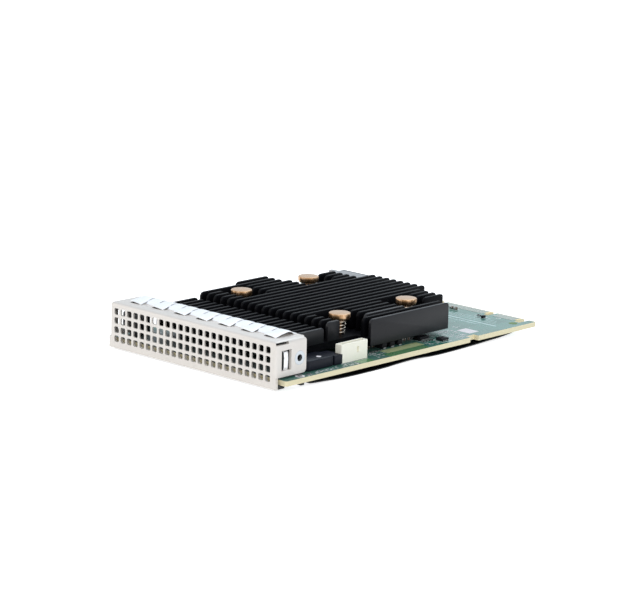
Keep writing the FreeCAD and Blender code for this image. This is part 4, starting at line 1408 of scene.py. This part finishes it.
@dataclass
class PowerStage:
    """Pressed choke and the regulator package behind it."""

    left: float = 27.1
    right: float = 34.5
    start: float = 14.6
    length: float = 11.6
    height: float = 3.2
    corner: float = 0.8
    stand: float = 0.1
    choke_soft: float = 0.3
    terminal: Point = (3.0, 1.5, 0.35)
    terminal_inset: float = 0.9
    terminal_soft: float = 0.05
    dot: Pair = (32.1, 21.8)
    dot_radius: float = 0.8
    dot_chamfer: float = 0.06
    dot_sink: float = 0.1
    dot_rise: Pair = (0.01, 0.02)
    dot_sides: int = 32
    regulator_gap: float = 0.06
    regulator_length: float = 3.4
    regulator_height: float = 3.05
    regulator_inset: float = 1.0
    regulator_soft: float = 0.12
    leads: int = 6
    lead: Point = (0.4, 0.5, 0.3)
    lead_start: float = 1.9
    lead_pitch: float = 1.05
    lead_back: float = 3.3
    lead_soft: float = 0.03

    def choke(self, end: float) -> None:
        """Make the choke with its terminals and printed dot, in place of its node."""
        form = Form()
        left, right, start, corner = self.left, self.right, self.start, self.corner
        outline = [(left + corner, start), (right - corner, start), (right, start + corner),
                   (right, end - corner), (right - corner, end), (left + corner, end), (left, end - corner),
                   (left, start + corner)]
        top = BOARD_TOP + self.height
        form.drawn(outline, Axis.Z, BOARD_TOP + self.stand, top, self.choke_soft, 3)
        form.material = 1
        width, length, height = self.terminal
        for depth in (start + self.terminal_inset, end - self.terminal_inset):
            form.chip((left + right) / 2, depth, width, length, BOARD_TOP, height, self.terminal_soft)
        form.material = 2
        radius, low = self.dot_radius, top - self.dot_sink
        edge, high = (top + rise for rise in self.dot_rise)
        form.turned([(0, low), (radius, low), (radius, edge), (radius - self.dot_chamfer, high), (0, high)],
                    *self.dot, self.dot_sides)
        fitted(form.piece("pressed_choke", [CHOKE_BLACK, TIN, SILK]), "package_black", "moulded_choke")

    def regulator(self, front: float) -> None:
        """Make the package and its leads in place of its node."""
        form = Form()
        form.block(self.left + self.regulator_inset, self.right, front, front + self.regulator_length,
                   BOARD_TOP + self.stand, BOARD_TOP + self.regulator_height, self.regulator_soft)
        form.material = 1
        width, length, height = self.lead
        for number in range(self.leads):
            x = self.left + self.lead_start + number * self.lead_pitch
            form.chip(x, front + self.lead_back, width, length, BOARD_TOP, height, self.lead_soft)
        fitted(form.piece("regulator_body", [CHOKE_BLACK, TIN]), "package_black", "regulator_package")

    def build(self) -> None:
        """Make both packages."""
        end = self.start + self.length
        self.choke(end)
        self.regulator(end + self.regulator_gap)


class PartKind(Enum):
    """Kinds of small part on the board."""

    CERAMIC = "ceramic"
    BULK = "bulk"
    RESISTOR = "resistor"
    CHIP = "chip"
    INDUCTOR = "inductor"


@dataclass(frozen=True)
class Row:
    """Row of equal small parts; a size is width, length and height."""

    count: int
    x: float
    depth: float
    step_x: float
    step_depth: float
    size: Point

    def places(self) -> list[Pair]:
        """Middle of each part."""
        return [(self.x + i * self.step_x, self.depth + i * self.step_depth) for i in range(self.count)]


CAPACITOR_SIZE = (0.8, 1.6, 0.8)
BULK_SIZE = (2.5, 2.0, 1.7)
RESISTOR_SIZE = (0.5, 1.0, 0.35)


@dataclass
class SmallParts:
    """Capacitors, resistors, chips and inductors on the top of the board."""

    top: float = BOARD_TOP
    cap_share: float = 0.24
    cap_soft: float = 0.06
    core_share: Pair = (0.94, 0.95)
    core_lift: float = 0.02
    core_soft: float = 0.04
    bulk_share: float = 0.9
    bulk_stand: float = 0.1
    tab: float = 0.4
    tab_inset: float = 0.2
    tab_share: Pair = (0.6, 0.2)
    tab_soft: float = 0.04
    chip_share: Pair = (0.82, 0.96)
    chip_stand: float = 0.08
    lead_width: float = 0.26
    lead_pitch: float = 0.65
    lead_row: float = 0.86
    lead_out: float = 0.44
    lead_share: Pair = (0.12, 0.4)
    lead_soft: float = 0.03
    rows: dict[PartKind, list[Row]] = field(default_factory=lambda: {
        PartKind.CERAMIC: [Row(5, 26.0, 50.0, 0, 2.4, CAPACITOR_SIZE),
                           Row(3, 27.0, 63.4, 0, 2.0, CAPACITOR_SIZE),
                           Row(2, 8.0, 110.4, 1.6, 0, CAPACITOR_SIZE)],
        PartKind.BULK: [Row(3, 28.9, 53.4, 0, 3.6, BULK_SIZE), Row(4, -33.0, 36.0, 0, 3.6, BULK_SIZE)],
        PartKind.RESISTOR: [Row(4, 30.9, 46.0, 0, 1.5, RESISTOR_SIZE),
                            Row(4, 32.4, 68.6, 0, 1.3, RESISTOR_SIZE),
                            Row(2, 19.9, 109.6, 1.0, -0.4, RESISTOR_SIZE),
                            Row(6, -35.0, 68.0, 0, 2.0, RESISTOR_SIZE)],
        PartKind.CHIP: [Row(1, 34.4, 75.2, 0, 0, (3.2, 3.2, 0.9)), Row(1, 29.4, 71.0, 0, 0, (3.6, 4.4, 1.2)),
                        Row(1, 23.3, 108.1, 0, 0, (1.2, 1.4, 0.8)),
                        Row(2, -34.0, 54.0, 0, 7.0, (4.0, 5.0, 1.2))],
        PartKind.INDUCTOR: [Row(5, -21.0, 20.0, 8.6, 0, (4.4, 4.4, 2.0))],
    })
    nodes: dict[PartKind, tuple[str, str, str]] = field(default_factory=lambda: {
        PartKind.CERAMIC: ("capped_capacitors", "ceramic_tan", "ceramic_capacitors_top"),
        PartKind.BULK: ("moulded_capacitors", "package_black", "bulk_capacitors"),
        PartKind.RESISTOR: ("film_resistors", "resistor_black", "chip_resistors"),
        PartKind.CHIP: ("leaded_chips", "package_black", "small_chips"),
        PartKind.INDUCTOR: ("square_inductors", "package_black", "power_inductors"),
    })

    def capped(self, form: Form, x: float, depth: float, size: Point) -> None:
        """Add a part with a tinned cap at each end."""
        width, length, height = size
        cap = length * self.cap_share
        form.material = 0
        wide, high = self.core_share
        form.chip(x, depth, width * wide, length - 2 * cap + self.core_soft, self.top + self.core_lift,
                  height * high, self.core_soft)
        form.material = 1
        for end in (-1, 1):
            form.chip(x, depth + end * (length - cap) / 2, width, cap, self.top, height, self.cap_soft)

    def bulk(self, form: Form, x: float, depth: float, size: Point) -> None:
        """Add a moulded body with a tab under each end."""
        width, length, height = size
        form.material = 0
        stand = self.bulk_stand
        form.chip(x, depth, width * self.bulk_share, length, self.top + stand, height - stand, stand)
        form.material = 1
        long, high = self.tab_share
        for end in (-1, 1):
            form.chip(x + end * (width / 2 - self.tab_inset), depth, self.tab, length * long, self.top,
                      height * high, self.tab_soft)

    def leaded(self, form: Form, x: float, depth: float, size: Point) -> None:
        """Add a chip body with leads along two sides."""
        width, length, height = size
        form.material = 0
        (wide, long), stand = self.chip_share, self.chip_stand
        form.chip(x, depth, width * wide, length * long, self.top + stand, height - stand, stand)
        form.material = 1
        out, high = self.lead_share
        count = max(int(length / self.lead_pitch), 2)
        for i in range(count):
            lead = depth + (i - (count - 1) / 2) * length * self.lead_row / count
            for end in (-1, 1):
                form.chip(x + end * width * self.lead_out, lead, width * out, self.lead_width, self.top,
                          height * high, self.lead_soft)

    def build(self) -> None:
        """Make every kind in place of its node."""
        makers = {PartKind.CERAMIC: (self.capped, CERAMIC), PartKind.RESISTOR: (self.capped, RESIST_BLACK),
                  PartKind.BULK: (self.bulk, BLACK_EPOXY), PartKind.INDUCTOR: (self.bulk, BLACK_EPOXY),
                  PartKind.CHIP: (self.leaded, BLACK_EPOXY)}
        for kind, rows in self.rows.items():
            maker, finish = makers[kind]
            form = Form()
            for row in rows:
                for x, depth in row.places():
                    maker(form, x, depth, row.size)
            name, slot, node = self.nodes[kind]
            fitted(form.piece(name, [finish, SHADED_TIN]), slot, node)


@dataclass
class CableConnector:
    """Low metal-shelled connector at the rear left, open to the rear, with a side block and its ear."""

    left: float = -30.2
    right: float = -13.0
    start: float = 88.0
    end: float = 99.4
    top: float = 11.0
    sheet: float = 0.3
    corner: float = 0.5
    corner_steps: int = 5
    cover_inset: float = 0.9
    back_soft: float = 0.05
    lip: float = 0.95
    lip_height: float = 0.6
    lip_soft: float = 0.1
    wing: float = 6.0
    wing_inset: Pair = (1.0, 2.9)
    wing_drop: float = 2.6
    wing_soft: float = 0.35
    ear_start: float = 2.3
    ear_inset: Pair = (3.0, 1.4)
    ear_drop: float = 0.3
    ear_soft: float = 0.2

    def shell(self) -> None:
        """Make the bent cover, its back and the grey lip of its opening."""
        form = Form()
        corner, high, inner_top = self.corner, self.top - self.corner, self.top - self.sheet
        outline = [(self.left, BOARD_TOP), (self.left, high)]
        outline += arc((self.left + corner, high), corner, 180, 90, self.corner_steps)[1:]
        outline += arc((self.right - corner, high), corner, 90, 0, self.corner_steps)
        outline += [(self.right, BOARD_TOP), (self.right - self.sheet, BOARD_TOP),
                    (self.right - self.sheet, inner_top), (self.left + self.sheet, inner_top),
                    (self.left + self.sheet, BOARD_TOP)]
        form.drawn(outline, Axis.Y, self.start, self.end - self.cover_inset)
        form.block(self.left, self.right, self.start, self.start + self.sheet, BOARD_TOP, inner_top,
                   self.back_soft)
        form.material = 1
        form.block(self.left + self.sheet, self.right - self.sheet, self.end - self.lip, self.end,
                   self.top - self.lip_height, self.top, self.lip_soft)
        fitted(form.piece("connector_cover", [SHELL_STEEL, LIP_GREY]), "shell_steel", "cable_connector_shell")

    def side_block(self) -> None:
        """Make the low block beside the shell and the thin ear behind it."""
        form = Form()
        outer = self.left - self.wing
        front, back = self.wing_inset
        form.block(outer, self.left, self.start + front, self.end - back, BOARD_TOP,
                   self.top - self.wing_drop, self.wing_soft, 3)
        front, back = self.ear_inset
        form.block(outer + self.ear_start, self.left, self.end - front, self.end - back, BOARD_TOP,
                   self.top - self.ear_drop, self.ear_soft)
        fitted(form.piece("connector_side_block", [SHELL_STEEL]), "shell_steel", "cable_connector_wing")

    def build(self) -> None:
        """Make shell and side block in place of their nodes."""
        self.shell()
        self.side_block()


@dataclass
class BoardPrint:
    """Printed marks, traces, pads and vias on the top of the board.

    An area is a range across the card and a range of depths; a frame is its middle and its two sizes.
    """

    top: float = BOARD_TOP
    ink: float = 0.02
    bed: float = 0.005
    pen: float = 0.14
    stroke: float = 0.16
    shortest_stroke: float = 0.3
    disc_sides: int = 28
    seed: int = 11
    tick_seed: int = 3
    label: Area = (29.0, 34.4, 88.3, 92.8)
    frames: tuple[Area, ...] = ((34.4, 75.2, 4.4, 4.4), (29.4, 71.0, 4.8, 5.4), (8.8, 110.4, 3.2, 2.4),
                                (20.4, 109.4, 2.6, 2.0), (23.3, 108.1, 1.9, 2.1), (33.0, 35.2, 3.2, 11.6))
    ticks: tuple[tuple[Area, int, float], ...] = (
        ((35.1, 36.9, 12.0, 34.0), 60, 1.3), ((31.0, 36.5, 43.0, 51.5), 34, 1.3),
        ((33.4, 36.0, 67.4, 72.8), 12, 1.3), ((26.5, 36.0, 79.5, 86.5), 75, 1.8),
        ((24.5, 26.5, 90.5, 93.0), 7, 1.3), ((-30.0, 24.0, 102.0, 110.0), 30, 1.3),
        ((-36.0, -30.0, 14.0, 84.0), 60, 1.3), ((-24.0, 24.0, 14.5, 28.0), 40, 1.3))
    bands: tuple[Area, ...] = ((9.0, 33.5, 101.7, 102.6), (9.0, 28.3, 99.7, 100.4),
                               (9.0, 32.0, 104.0, 104.35), (10.0, 30.5, 105.6, 105.9),
                               (12.0, 29.5, 107.1, 107.4), (19.0, 26.0, 108.5, 109.0))
    short_traces: int = 14
    short_trace_area: Area = (-8.0, 33.0, 94.5, 109.0)
    short_trace_lengths: Pair = (1.5, 5.0)
    short_trace_slants: Pair = (0.0, 0.8)
    short_trace_width: float = 0.13
    short_trace_end: float = 35.6
    pale_zone: Area = (30.9, 34.5, 50.0, 66.8)
    green_zones: tuple[Area, ...] = ((34.5, 37.95, 47.5, 65.5), (34.6, 37.95, 34.5, 40.5))
    open_spot: Point = (34.5, 109.5, 1.4)
    ring_mark: Area = (26.9, 111.3, 0.75, 0.6)
    vias: int = 16
    via_area: Area = (-9.0, 36.0, 94.5, 110.5)
    via_radii: Pair = (0.18, 0.08)
    hole_spot: Pair = (36.0, 9.8)
    hole_ring: Pair = (1.5, 0.9)
    hole_pad: float = 0.85
    tin_pads: tuple[Area, ...] = ((21.2, 22.2, 106.9, 107.4), (22.7, 23.9, 109.1, 109.5),
                                  (35.4, 36.8, 12.2, 14.2))
    gold_pads: tuple[Area, ...] = ((19.0, 20.4, 113.4, 116.3), (31.7, 32.8, 113.4, 116.3))

    def somewhere(self, draw: random.Random, area: Area) -> Pair:
        """Place drawn at random within an area."""
        x0, x1, d0, d1 = area
        return draw.uniform(x0, x1), draw.uniform(d0, d1)

    def flat(self, form: Form, *areas: Area) -> None:
        """Add thin printed rectangles."""
        for area in areas:
            form.block(*area, self.top - self.bed, self.top + self.ink)

    def line(self, form: Form, start: Pair, end: Pair, width: float) -> None:
        """Add a thin printed line between two places."""
        (x0, d0), (x1, d1) = start, end
        length = math.hypot(x1 - x0, d1 - d0)
        nx, nd = -(d1 - d0) / length * width / 2, (x1 - x0) / length * width / 2
        outline = [(x0 + nx, d0 + nd), (x0 - nx, d0 - nd), (x1 - nx, d1 - nd), (x1 + nx, d1 + nd)]
        form.drawn(outline, Axis.Z, self.top - self.bed, self.top + self.ink)

    def frame(self, form: Form, x: float, depth: float, width: float, length: float) -> None:
        """Add a printed outline round a part."""
        x0, x1, d0, d1 = x - width / 2, x + width / 2, depth - length / 2, depth + length / 2
        pen = self.pen
        self.flat(form, (x0, x1, d0, d0 + pen), (x0, x1, d1 - pen, d1), (x0, x0 + pen, d0 + pen, d1 - pen),
                  (x1 - pen, x1, d0 + pen, d1 - pen))

    def disc(self, form: Form, x: float, depth: float, radius: float, hole: float = 0.0) -> None:
        """Add a thin round mark, with a hole in it if one is given."""
        low, high = self.top - self.bed, self.top + self.ink
        profile = [(hole, low), (radius, low), (radius, high), (hole, high)]
        if hole:
            profile.append((hole, low))
        form.turned(profile, x, depth, self.disc_sides)

    def scatter(self, form: Form, area: Area, count: int, longest: float, seed: int) -> None:
        """Scatter short printed strokes over an area.

        Args:
            form: piece that is being built.
            area: X from and to, depth from and to.
            count: number of strokes.
            longest: length of the longest stroke.
            seed: start of the random row.
        """
        draw = random.Random(seed)
        for _ in range(count):
            x, depth = self.somewhere(draw, area)
            length = draw.uniform(self.shortest_stroke, longest)
            if draw.random() < 0.5:
                self.flat(form, (x, x + self.stroke, depth, depth + length))
            else:
                self.flat(form, (x, x + length, depth, depth + self.stroke))

    def silkscreen(self) -> None:
        """White marks: a blank label, outlines round parts, rings and short strokes."""
        form = Form()
        self.flat(form, self.label)
        for frame in self.frames:
            self.frame(form, *frame)
        self.disc(form, *self.ring_mark)
        self.disc(form, *self.hole_spot, *self.hole_ring)
        for seed, (area, count, longest) in enumerate(self.ticks, self.tick_seed):
            self.scatter(form, area, count, longest, seed)
        fitted(form.piece("board_silkscreen", [SILK]), "board_laminate")

    def traces(self) -> None:
        """Raised copper under the mask."""
        form = Form()
        self.flat(form, *self.bands)
        draw = random.Random(self.seed)
        for _ in range(self.short_traces):
            x, depth = self.somewhere(draw, self.short_trace_area)
            end = min(x + draw.uniform(*self.short_trace_lengths), self.short_trace_end)
            rear = depth + draw.choice(self.short_trace_slants)
            self.line(form, (x, depth), (end, rear), self.short_trace_width)
        fitted(form.piece("mask_traces", [TRACE_GREEN]), "board_laminate")

    def zones(self) -> None:
        """Stretches beside the heat sink with no copper under the mask, and a round one with no mask."""
        form = Form()
        self.flat(form, self.pale_zone)
        form.material = 1
        self.flat(form, *self.green_zones)
        form.material = 2
        self.disc(form, *self.open_spot)
        fitted(form.piece("copper_free_zones", [PALE_ZONE, GREEN_ZONE, OPEN_LAMINATE]), "board_laminate")

    def pads(self) -> None:
        """Tinned vias and pads, and the gold pads at the rear edge."""
        form = Form()
        draw = random.Random(self.seed + 1)
        for _ in range(self.vias):
            self.disc(form, *self.somewhere(draw, self.via_area), *self.via_radii)
        self.disc(form, *self.hole_spot, self.hole_pad)
        self.flat(form, *self.tin_pads)
        form.material = 1
        self.flat(form, *self.gold_pads)
        fitted(form.piece("tinned_pads", [TIN, GOLD]), "board_laminate")

    def build(self) -> None:
        """Print everything."""
        self.silkscreen()
        self.traces()
        self.zones()
        self.pads()


@dataclass
class NodeDress:
    """Finishes for the nodes that keep their own meshes."""

    finishes: dict[str, Finish] = field(default_factory=lambda: {
        "circuit_board": MASK, "edge_contacts_top": PALE_GOLD, "edge_contacts_bottom": GOLD,
        "mounting_block_right": CAST_BLOCK, "mounting_block_left": CAST_BLOCK,
        "mounting_block_screws": SCREW_STEEL, "controller_substrate": SUBSTRATE, "controller_lid": LID_NICKEL,
        "controller_thermal_pad": PAD_GREY, "memory_packages": BLACK_EPOXY, "memory_thermal_pads": PAD_GREY,
        "ceramic_capacitors_bottom": CERAMIC, "cable_connector_housing": BLACK_NYLON,
        "cable_connector_contacts": GOLD, "pin_retainer_front_left": RETAINER,
        "pin_retainer_front_right": RETAINER, "pin_retainer_rear_left": RETAINER,
        "pin_retainer_rear_right": RETAINER,
    })

    def build(self, nodes: dict[str, bpy.types.Object]) -> None:
        """Give each node its finish.

        Args:
            nodes: all CAD nodes by name.
        """
        for name, finish in self.finishes.items():
            data = nodes[name].data
            data.materials.clear()
            data.materials.append(finish.material())
            LOG.info("%s: %s", name, finish.name)


@dataclass(frozen=True)
class Lamp:
    """Square soft lamp; sizes in metres and power in watts."""

    name: str
    spot: Point
    size: float
    power: float
    colour: Colour

    def hang(self, target: Point) -> None:
        """Put the lamp in the scene so that it looks at a point."""
        data = bpy.data.lights.new(self.name, "AREA")
        data.size = self.size
        data.energy = self.power
        data.color = self.colour
        lamp = bpy.data.objects.new(self.name, data)
        lamp.location = self.spot
        lamp.rotation_euler = (Vector(target) - Vector(self.spot)).to_track_quat("-Z", "Y").to_euler()
        bpy.context.scene.collection.objects.link(lamp)


@dataclass
class Studio:
    """Camera, lamps, surroundings and floor; places in metres and angles in degrees."""

    azimuth: float = 43.29
    elevation: float = 13.38
    roll: float = 1.33
    distance: float = 0.8591
    target: Point = (0.0, -0.0085, 0.0058)
    lens: float = 157.89
    sensor: float = 36.0
    shift: Pair = (0.01468, 0.04116)
    world_light: float = 0.62
    front_tint: Colour = (1.0, 0.975, 0.95)
    back_tint: Colour = (0.88, 0.97, 1.04)
    tint_ends: Pair = (-0.9, 0.9)
    zenith: Colour = (1.1, 1.15, 1.26)
    zenith_ends: Pair = (0.25, 0.95)
    floor_half: float = 6.0
    floor_glow: float = 0.78
    paper: tuple[float, ...] = (0.8, 0.8, 0.8, 1.0)
    paper_roughness: float = 0.9
    paper_shine: float = 0.1
    lamps: tuple[Lamp, ...] = (Lamp("key", (0.9, -1.1, 1.1), 1.2, 8.0, (1.0, 0.985, 0.965)),
                               Lamp("fill", (-1.1, -1.0, 0.5), 1.0, 3.2, (1.0, 0.985, 0.965)),
                               Lamp("side", (1.5, -0.3, 0.6), 0.9, 4.5, (1.0, 0.99, 0.98)),
                               Lamp("rear", (-0.4, 1.2, 1.4), 1.2, 7.0, (0.86, 0.95, 1.0)))

    def camera(self) -> None:
        """Place the camera as the photograph was taken."""
        a, e, r = (math.radians(v) for v in (self.azimuth, self.elevation, self.roll))
        back = Vector((math.sin(a) * math.cos(e), -math.cos(a) * math.cos(e), math.sin(e)))
        right = Vector((math.cos(a), math.sin(a), 0))
        up = back.cross(right)
        turned_right = right * math.cos(r) + up * math.sin(r)
        turned_up = up * math.cos(r) - right * math.sin(r)
        data = bpy.data.cameras.new("camera")
        data.lens = self.lens
        data.sensor_width = self.sensor
        data.shift_x, data.shift_y = self.shift
        camera = bpy.data.objects.new("camera", data)
        spot = Vector(self.target) + back * self.distance
        basis = Matrix((turned_right, turned_up, back)).transposed().to_4x4()
        camera.matrix_world = Matrix.Translation(spot) @ basis
        bpy.context.scene.collection.objects.link(camera)
        bpy.context.scene.camera = camera

    def seen(self, tree: Tree, plain: float, white: float) -> bpy.types.NodeSocket:
        """Strength that is white for camera, glossy and transmission rays and plain for the rest.

        Args:
            tree: node tree to add to.
            plain: strength for lighting.
            white: strength for what is seen.

        Returns:
            The strength.
        """
        path = tree.put("ShaderNodeLightPath").outputs
        total = path["Is Camera Ray"]
        for name in ("Is Glossy Ray", "Is Transmission Ray"):
            total = tree.math("MAXIMUM", total, path[name])
        return tree.spread(total, 0.0, 1.0, plain, white)

    def world(self) -> None:
        """White surroundings: a plain level of light, warm in front, cool behind and brighter overhead."""
        world = bpy.data.worlds.new("studio")
        bpy.context.scene.world = world
        world.use_nodes = True
        tree = Tree(world.node_tree)
        background = tree.tree.nodes["Background"]
        tree.link(self.seen(tree, self.world_light, 1.0), background.inputs["Strength"])
        _, along, above = tree.split(tree.coordinates["Generated"])
        side = tree.mix(tree.spread(along, *self.tint_ends), self.front_tint, self.back_tint)
        high = tree.mix(tree.spread(above, *self.zenith_ends), WHITE, self.zenith)
        both = tree.mix(1.0, side, high, "MULTIPLY")
        camera_ray = tree.put("ShaderNodeLightPath").outputs["Is Camera Ray"]
        tree.link(tree.mix(camera_ray, both, WHITE), background.inputs["Color"])

    def floor(self) -> None:
        """Wide white floor that keeps a faint shadow of the card."""
        form = Form()
        half = self.floor_half
        form.face([form.mesh.verts.new((x, y, 0)) for x, y in ((-half, -half), (half, -half), (half, half),
                                                               (-half, half))])
        floor = form.piece("floor", [])
        paper = Sheet("floor_paper")
        paper.set(Base_Color=self.paper, Roughness=self.paper_roughness, Specular_IOR_Level=self.paper_shine,
                  Emission_Color=(*WHITE, 1.0))
        paper.feed("Emission Strength", self.seen(paper, 0.0, self.floor_glow))
        floor.data.materials.append(paper.material)

    def build(self) -> None:
        """Set up everything round the card."""
        bpy.context.scene.view_settings.view_transform = "Standard"
        self.camera()
        self.world()
        self.floor()
        for lamp in self.lamps:
            lamp.hang(self.target)


def corners(box: Sequence[Sequence[float]]) -> list[list[float]]:
    """A box as plain lists of numbers."""
    return [[float(v) for v in corner] for corner in box]


def main() -> None:
    """Build the card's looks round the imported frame."""
    logging.basicConfig(level=logging.INFO, format="%(name)s %(message)s")
    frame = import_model()
    for part in (Studio(), Faceplate(), FingerStrip(), SideParts(), HeatSink(), RetainingPins(), Insulator(),
                 Header(), PowerStage(), SmallParts(), CableConnector(), BoardPrint()):
        part.build()
    NodeDress().build(frame["nodes"])
    bpy.context.view_layer.update()


if __name__ == "__main__":
    main()
